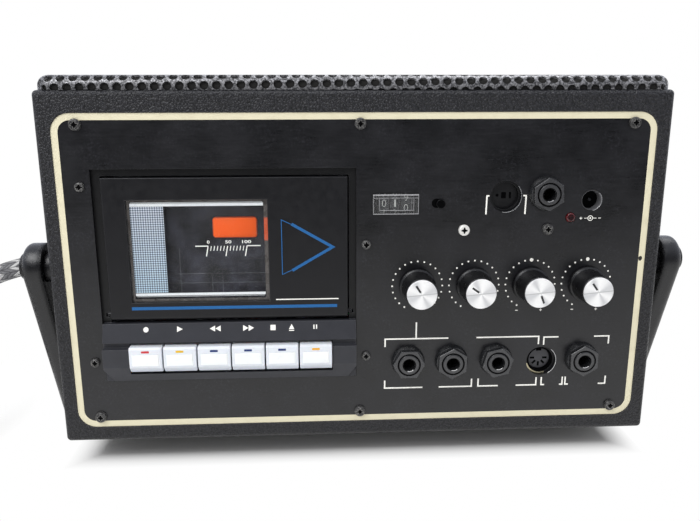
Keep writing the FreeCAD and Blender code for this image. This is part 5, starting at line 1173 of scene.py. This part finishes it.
ORANGE, ORANGE_ROUND, ORANGE_SOFT = (-78.9, 131.6, -55.2, 142.8), 1.9, 0.5
ORANGE_FRONT, ORANGE_BACK = 5.95, 7.5


def strip_depth(z):
    """Depth of the grey strip above the keys, which slopes forward as it goes down."""
    return STRIP_START - (LABEL_TOP - z) * STRIP_LEAN


def pointing(x, z, width, height):
    """A triangle that points along x, or back along it where width is negative."""
    return [(x - width / 2, z - height / 2), (x + width / 2, z), (x - width / 2, z + height / 2)]


def print_symbols():
    """Transport symbols on the sloping strip above the keys."""
    z = SYMBOL_Z
    marks = [disc(RECORD_DOT, z, RECORD_DOT_R), pointing(PLAY, z, PLAY_W, PLAY_H)]
    marks += [pointing(x, z, -PAIR_W, PAIR_H) for x in REWIND]
    marks += [pointing(x, z, PAIR_W, PAIR_H) for x in FORWARD]
    marks.append(box(STOP_LEFT, z - STOP_HALF, STOP_RIGHT, z + STOP_HALF))
    marks.append(box(*moved(EJECT_BAR, (0, z))))
    marks.append([(x, z + up) for x, up in EJECT_ARROW])
    marks += [box(x - PAUSE_THIN, z - PAUSE_HALF, x + PAUSE_THIN, z + PAUSE_HALF) for x in PAUSE]
    printed("transport_symbols", marks, strip_depth, white_ink, "cabinet", "grey_plastic")


def print_keys():
    """One coloured mark near the top of each key."""
    inks = (red_ink, yellow_ink, navy_ink, navy_ink, navy_ink, amber_ink)
    for number, (key, ink) in enumerate(zip(KEY_BODIES, inks)):
        middle = KEY_LEFT + KEY_W / 2 + number * KEY_PITCH
        mark = rounded(middle - KEY_MARK_HALF, KEY_MARK_LOW, middle + KEY_MARK_HALF,
                       KEY_MARK_HIGH, KEY_MARK_ROUND, steps=3)
        printed("mark_" + key, [mark], KEY_FACE, ink, "key_" + key, "white_plastic")


def print_door():
    """Stripe, arrow and underline on the door's face."""
    printed("door_blue", [box(*DOOR_STRIPE), stroke(ARROW, ARROW_W),
                          stroke(ARROW_BACK, ARROW_BACK_W)],
            DOOR_FACE, blue_ink, "door", "door_plastic")
    printed("door_white", [box(*DOOR_UNDERLINE)], DOOR_FACE, white_ink, "door", "door_plastic")


def print_window():
    """Silver bars, halftone strip and tape scale on the back of the window."""
    behind = PANE_BACK + INK
    printed("window_bars", [box(*bar) for bar in WINDOW_BARS], behind, silver_ink, "door",
            "door_plastic")
    printed("window_strip", [box(*STRIP)], behind, halftone, "door", "door_plastic")
    printed("window_rim", [], behind, window_rim, "door", "door_plastic",
            [[box(*edge) for edge in RIM]])
    marks = [box(start, SCALE_Z - SCALE_HALF, end, SCALE_Z + SCALE_HALF)
             for start, end in SCALE_ARMS]
    for tick in range(SCALE_TICKS + 1):
        x = SCALE_LEFT + tick * SCALE_W / SCALE_TICKS
        reach, width = TICK_LONG if tick % (SCALE_TICKS // 2) == 0 else TICK_SHORT
        foot = (x - TICK_LEAN * reach / TICK_LONG[0], SCALE_Z - reach)
        marks.append(stroke([(x, SCALE_Z), foot], width))
    printed("scale_lines", marks, behind, white_ink, "door", "door_plastic")
    figures = Shape()
    for text, x, width in FIGURES:
        points, faces = lettering(text, width, FIGURES_H, swell=0.02)
        figures.add([(x + px, behind - INK + (0.5 - pz) * (INK + SUNK), FIGURES_Z + py)
                     for px, py, pz in points], faces)
    figures.piece("scale_figures", white_ink, "door", "door_plastic")


def orange_block():
    """The orange reel block that shows through the window."""
    x0, z0, x1, z1 = ORANGE
    soft = ORANGE_SOFT
    outer = rounded(x0, z0, x1, z1, ORANGE_ROUND)
    inner = rounded(x0 + soft, z0 + soft, x1 - soft, z1 - soft, ORANGE_ROUND - soft)
    block = Shape().outlines([(outer, ORANGE_BACK), (outer, ORANGE_FRONT + 0.05 + soft),
                              (inner, ORANGE_FRONT)])
    block.piece("orange_block", orange_plastic, "door", "door_plastic", sharp=50)


# ---------------------------------------------------------------- tape counter
WHEEL_AXIS_D, WHEEL_AXIS_Z = 12.6, 149.95
WHEEL_R, WHEEL_PITCH, WHEEL_X = 9.0, 5.9, 18.85
DIGIT_H, DIGIT_W, ONE_W = 3.9, 2.2, 0.9
DIGIT_TURN = 36       # degrees from one figure to the next
COUNT = (("hundreds", -1, 0.0), ("tens", 0, 1.0), ("units", 1, 9.55))     # place, figure at front
COUNTER_FACE = -0.7
COUNTER_EDGES = ((6.7, 154.6, 31.0, 155.3), (6.7, 144.6, 31.0, 145.0),
                 (7.2, 153.2, 30.6, 153.45), (10.0, 146.6, 28.6, 146.9),
                 (6.7, 145.2, 6.95, 154.4), (30.75, 145.2, 31.0, 154.4),
                 (9.9, 147.0, 10.1, 153.1), (28.2, 147.0, 28.4, 153.1),
                 (27.2, 147.0, 27.35, 153.1))


def number_wheels():
    """Ten raised figures round each wheel, turned so that the count shows."""
    for body, place, at_front in COUNT:
        shape = Shape()
        x = WHEEL_X + place * WHEEL_PITCH
        for digit in range(10):
            points, faces = lettering(str(digit), ONE_W if digit == 1 else DIGIT_W, DIGIT_H,
                                      swell=-0.02)
            turned = math.radians(DIGIT_TURN * (at_front - digit))
            placed = []
            for px, py, pz in points:
                angle = turned + py / WHEEL_R
                radius = WHEEL_R + INK * pz * 2
                placed.append((x + px, WHEEL_AXIS_D - radius * math.cos(angle),
                               WHEEL_AXIS_Z + radius * math.sin(angle)))
            shape.add(placed, faces)
        shape.piece("figures_" + body, digit_white, body, "white_plastic")


def counter_frame():
    """Painted highlights along the edges of the clear counter cover."""
    printed("counter_edges", [box(*edge) for edge in COUNTER_EDGES], COUNTER_FACE, edge_shine,
            "cabinet", "clear")


# ---------------------------------------------------------------- knobs
KNOB_TURNS = {"input": -33, "tape": -55, "bass": 158, "treble": -36}      # degrees from the top
SKIRT_R, CAP_R, BODY_R = 9.9, 8.0, 8.9
CAP_FACE, SKIRT_BACK = -17.9, -0.3
# Radius and depth, from the back round to the front.
BARREL = ((3.0, SKIRT_BACK - 0.1), (SKIRT_R - 0.25, SKIRT_BACK), (SKIRT_R, SKIRT_BACK - 0.25),
          (SKIRT_R, -2.2), (SKIRT_R - 0.25, -2.5), (BODY_R + 0.35, -2.6), (BODY_R, -3.0),
          (BODY_R - 0.35, -15.6), (CAP_R + 0.35, -16.5), (CAP_R + 0.05, -16.75),
          (CAP_R - 0.4, -16.75), (3.0, -16.7))
CAP = ((2.0, -16.6), (CAP_R - 0.05, -16.6), (CAP_R, -16.8), (CAP_R, CAP_FACE + 0.35),
       (CAP_R - 0.35, CAP_FACE + 0.04), (CAP_R - 0.8, CAP_FACE), (5.0, CAP_FACE + 0.02),
       (2.0, CAP_FACE + 0.03), (0.25, CAP_FACE + 0.03))
POINTER, POINTER_W = (1.6, 6.0), 1.05


def turn_knobs():
    """Black barrels with spun caps, each with its pointer where the knob is set."""
    for x, (name, turned) in zip(KNOB_XS, KNOB_TURNS.items()):
        body, middle = "knob_" + name, (x, KNOB_Z)
        barrel = Shape().lathe(middle, BARREL)
        made = barrel.piece("barrel_" + name, knob_plastic, body, "black_plastic", sharp=40)
        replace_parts(made, body)
        cap = Shape().lathe(middle, CAP)
        cap.piece("cap_" + name, spun_aluminium, body, "bright_steel", sharp=25)
        angle = math.radians(turned)
        line = stroke([(x + math.sin(angle) * reach, KNOB_Z + math.cos(angle) * reach)
                       for reach in POINTER], POINTER_W)
        printed("pointer_" + name, [line], CAP_FACE + 0.04, pointer_ink, body, "black_plastic")


# ---------------------------------------------------------------- loudspeaker grille
GRILLE_HALF = 163.7
GRILLE_FRONT, GRILLE_BACK = 1.3, 163.7
GRILLE_CORNER, GRILLE_BEND, GRILLE_SHEET = 7.0, 5.5, 1.0
HOLE_R, HOLE_PITCH, HOLE_SKEW = 2.3, 6.2, 1.0
ROW_SHIFT = 0.6       # rows of holes set so that two of them fall on the rolled front edge
RIM_POINTS = 12       # points round a hole, and round the six-sided piece of sheet about it
SPARE_ROWS = 4        # rows and columns past the edge, for the sheet that rolls down
SLIVER = 0.001        # faces with less area than this are left out
TRAY_MIDDLE_D = (GRILLE_FRONT + GRILLE_BACK) / 2
TRAY_HALF_W = GRILLE_HALF - GRILLE_CORNER
TRAY_HALF_D = (GRILLE_BACK - GRILLE_FRONT) / 2 - GRILLE_CORNER
TRAY_FLAT = GRILLE_CORNER - GRILLE_BEND         # flat sheet past those halves, before the bend
TRAY_QUARTER = math.pi / 2 * GRILLE_BEND        # sheet that goes into the bend
TRAY_REACH = TRAY_QUARTER + (GRILLE_TOP - GRILLE_LOW - GRILLE_BEND)
# Height and inset of the pad under it.
PAD_STEPS = ((GRILLE_LOW + 0.1, 1.3), (211.0, 1.3), (213.4, 2.4), (215.1, 5.4))


def beyond(u, v):
    """The nearest point of the sheet's flat core, the way out from there, and how far.

    The distance counts from where the sheet starts to bend.
    """
    core = Vector((max(-TRAY_HALF_W, min(TRAY_HALF_W, u)), max(-TRAY_HALF_D, min(TRAY_HALF_D, v))))
    out = Vector((u, v)) - core
    distance = out.length
    return core, (out / distance if distance else out), distance - TRAY_FLAT


def rolled(u, v, inner):
    """Where a point of the unrolled sheet ends up, on its outer or its inner face."""
    core, way, over = beyond(u, v)
    over = min(over, TRAY_REACH)
    if over <= 0:
        spot, angle, drop = Vector((u, v)), 0.0, 0.0
    else:
        angle = min(over / GRILLE_BEND, math.pi / 2)
        spot = core + way * (TRAY_FLAT + GRILLE_BEND * math.sin(angle))
        drop = GRILLE_BEND * (1 - math.cos(angle)) + max(0.0, over - TRAY_QUARTER)
    if inner:
        spot = spot - way * GRILLE_SHEET * math.sin(angle)
        drop += GRILLE_SHEET * math.cos(angle)
    return spot.x, TRAY_MIDDLE_D + spot.y, GRILLE_TOP - drop


def grille_holes():
    """Middles of the holes on the unrolled sheet, in staggered rows a little askew."""
    skew = math.radians(HOLE_SKEW)
    row_gap = HOLE_PITCH * math.sqrt(3) / 2
    wide = int(GRILLE_HALF / HOLE_PITCH) + SPARE_ROWS
    deep = int(GRILLE_HALF / 2 / row_gap) + SPARE_ROWS
    for row in range(-deep, deep + 1):
        for column in range(-wide, wide + 1):
            a = (column + row % 2 / 2) * HOLE_PITCH
            b = (row + ROW_SHIFT) * row_gap
            yield a * math.cos(skew) - b * math.sin(skew), a * math.sin(skew) + b * math.cos(skew)


def spread(corners):
    """Area of a flat face."""
    return abs(sum(one[0] * two[1] - two[0] * one[1]
                   for one, two in zip(corners, corners[1:] + corners[:1]))) / 2


def punched_sheet():
    """Points and faces of the unrolled sheet: a ring of faces round every hole."""
    sheet, known = [], {}

    def point(u, v):
        """Number of this point, cut back to the sheet's lower edge."""
        core, way, over = beyond(u, v)
        if over > TRAY_REACH:
            u, v = core + way * (TRAY_FLAT + TRAY_REACH)
        key = (round(u, 2), round(v, 2))
        if key not in known:
            known[key] = len(sheet)
            sheet.append((u, v))
        return known[key]

    faces = []
    for u, v in grille_holes():
        rim, hole = [], []
        for step in range(RIM_POINTS):
            angle = math.radians(360 / RIM_POINTS * (step + 1)) + math.radians(HOLE_SKEW)
            out = HOLE_PITCH / 2 if step % 2 else HOLE_PITCH / math.sqrt(3)
            rim.append((u + out * math.cos(angle), v + out * math.sin(angle)))
            hole.append((u + HOLE_R * math.cos(angle), v + HOLE_R * math.sin(angle)))
        if min(beyond(*spot)[2] for spot in rim) >= TRAY_REACH:
            continue
        outer = [point(*spot) for spot in rim]
        inner = [point(*spot) for spot in hole]
        for i in range(RIM_POINTS):
            after = (i + 1) % RIM_POINTS
            faces.append([outer[i], outer[after], inner[after], inner[i]])
    faces = [list(dict.fromkeys(face)) for face in faces]
    return sheet, [face for face in faces if spread([sheet[i] for i in face]) > SLIVER]


def perforated_grille():
    """Punched sheet rolled down round its edge: every hole is cut through.

    The sheet is laid out flat, u to the right and v to the back from its middle, and rolled last.
    """
    sheet, faces = punched_sheet()
    sides = dict.fromkeys(side for face in faces for side in zip(face, face[1:] + face[:1]))
    total = len(sheet)
    back = [[index + total for index in reversed(face)] for face in faces]
    rims = [[one, two, two + total, one + total] for one, two in sides
            if (two, one) not in sides]
    shape = Shape().add([rolled(u, v, inner) for inner in (False, True) for u, v in sheet],
                        faces + back + rims)
    made = shape.piece("punched_grille", grille_paint, "cabinet", "grille_steel", sharp=35)
    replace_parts(made, "speaker_grille")


def grille_cloth():
    """Dark foam pad under the punched sheet, seen through its holes."""
    rings = []
    for height, inset in PAD_STEPS:
        rings.append([(x, depth, height) for x, depth in rounded(
            -GRILLE_HALF + inset, GRILLE_FRONT + inset, GRILLE_HALF - inset, GRILLE_BACK - inset,
            GRILLE_CORNER - inset)])
    Shape().stack(rings).piece("grille_pad", cone_felt, "cabinet", "cone_paper", sharp=60)


# ---------------------------------------------------------------- floor and light
CASE_HALF_W, CASE_HALF_D, CASE_MIDDLE_D = 165, 82.5, 82.5
FLOOR_FRONT, FLOOR_FAR = -0.6, 4.0    # metres
CONTACT_SIDE, CONTACT_AHEAD = (-14, 4), (-17, 0)      # where the case's own shadow fades out
COIL_SHADE = (74, 104)                # and the coil's, from its middle
ROOM_FRONT = 0.12     # what gloss shows of the room behind the camera, against 1 for its pale side
ROOM_TILT = 0.6       # how fast it gets paler upward
ROOM_LIGHT = 0.6      # the room's light on the object
WHITE, COOL = (1, 1, 1, 1), (0.93, 0.97, 1.1, 1)
LIGHT_AIM = (0, 0, 0.1)


def lay_floor():
    """Pale floor that keeps the shadows under the case and the coil and is white elsewhere."""
    mesh = bpy.data.meshes.new("floor")
    mesh.from_pydata([(-FLOOR_FAR, FLOOR_FRONT, 0), (FLOOR_FAR, FLOOR_FRONT, 0),
                      (FLOOR_FAR, FLOOR_FAR, 0), (-FLOOR_FAR, FLOOR_FAR, 0)], [], [(0, 1, 2, 3)])
    f = Finish("floor_finish", base_color=colour(245, 245, 245), roughness=0.7,
               specular_ior_level=0.1)
    x, depth, _ = f.around()
    side = f.span(x.size() - CASE_HALF_W, *CONTACT_SIDE)
    ahead = f.span((depth - CASE_MIDDLE_D).size() - CASE_HALF_D, *CONTACT_AHEAD)
    coil_x, coil_d = x - COIL_MIDDLE[0] / MM, depth - (COIL_MIDDLE[1] / MM - FRONT_Y)
    clear = f.span((coil_x * coil_x + coil_d * coil_d).power(0.5), *COIL_SHADE)
    glow = f.add("ShaderNodeEmission", None, {"Color": WHITE, "Strength": 1.0})
    mixed = f.add("ShaderNodeMixShader", None,
                  {0: f.shown() * side.largest(ahead) * clear, 1: f.shader, 2: glow})
    f.join(f.surface.node.inputs["Surface"], mixed)
    mesh.materials.append(f.material)
    floor = bpy.data.objects.new("floor", mesh)
    bpy.context.scene.collection.objects.link(floor)


def light_room():
    """White room for what the camera sees, darker on the side that the front mirrors."""
    world = bpy.data.worlds.new("room")
    bpy.context.scene.world = world
    world.use_nodes = True
    room = Wiring(world.node_tree)
    _, y, height = room.axes(room.add("ShaderNodeTexCoord", output="Generated"))
    rays = room.add("ShaderNodeLightPath", output="Is Glossy Ray")
    mirrored = room.span(y + height * ROOM_TILT, -0.9, 0.1, ROOM_FRONT, 1.0)
    backgrounds = [room.add("ShaderNodeBackground", None, {"Color": tint, "Strength": level})
                   for tint, level in ((WHITE, ROOM_LIGHT), (WHITE, 1.0), (COOL, mirrored))]
    seen = room.add("ShaderNodeMixShader", None,
                    {0: room.shown(), 1: backgrounds[0], 2: backgrounds[1]})
    shown = room.add("ShaderNodeMixShader", None, {0: rays, 1: seen, 2: backgrounds[2]})
    room.add("ShaderNodeOutputWorld", None, {"Surface": shown})


def hang_light(name, place, size, watts):
    """A square soft light that points at the recorder's middle."""
    light = bpy.data.lights.new(name, "AREA")
    light.energy, light.size = watts, size
    made = bpy.data.objects.new(name, light)
    made.location = place
    made.rotation_euler = (Vector(LIGHT_AIM) - Vector(place)).to_track_quat("-Z", "Y").to_euler()
    bpy.context.scene.collection.objects.link(made)


print_border()
print_panel()
line_recesses()
fit_nuts()
bare_holes()
fit_din_inserts()
fit_small_holes()
print_symbols()
print_keys()
print_door()
print_window()
orange_block()
number_wheels()
counter_frame()
turn_knobs()
perforated_grille()
grille_cloth()
lay_floor()
light_room()
hang_light("window_light", (-0.7, -0.9, 1.3), size=0.9, watts=15)
hang_light("ceiling_light", (0.3, 0.5, 1.6), size=1.2, watts=16)
bpy.context.scene.view_settings.view_transform = "Standard"
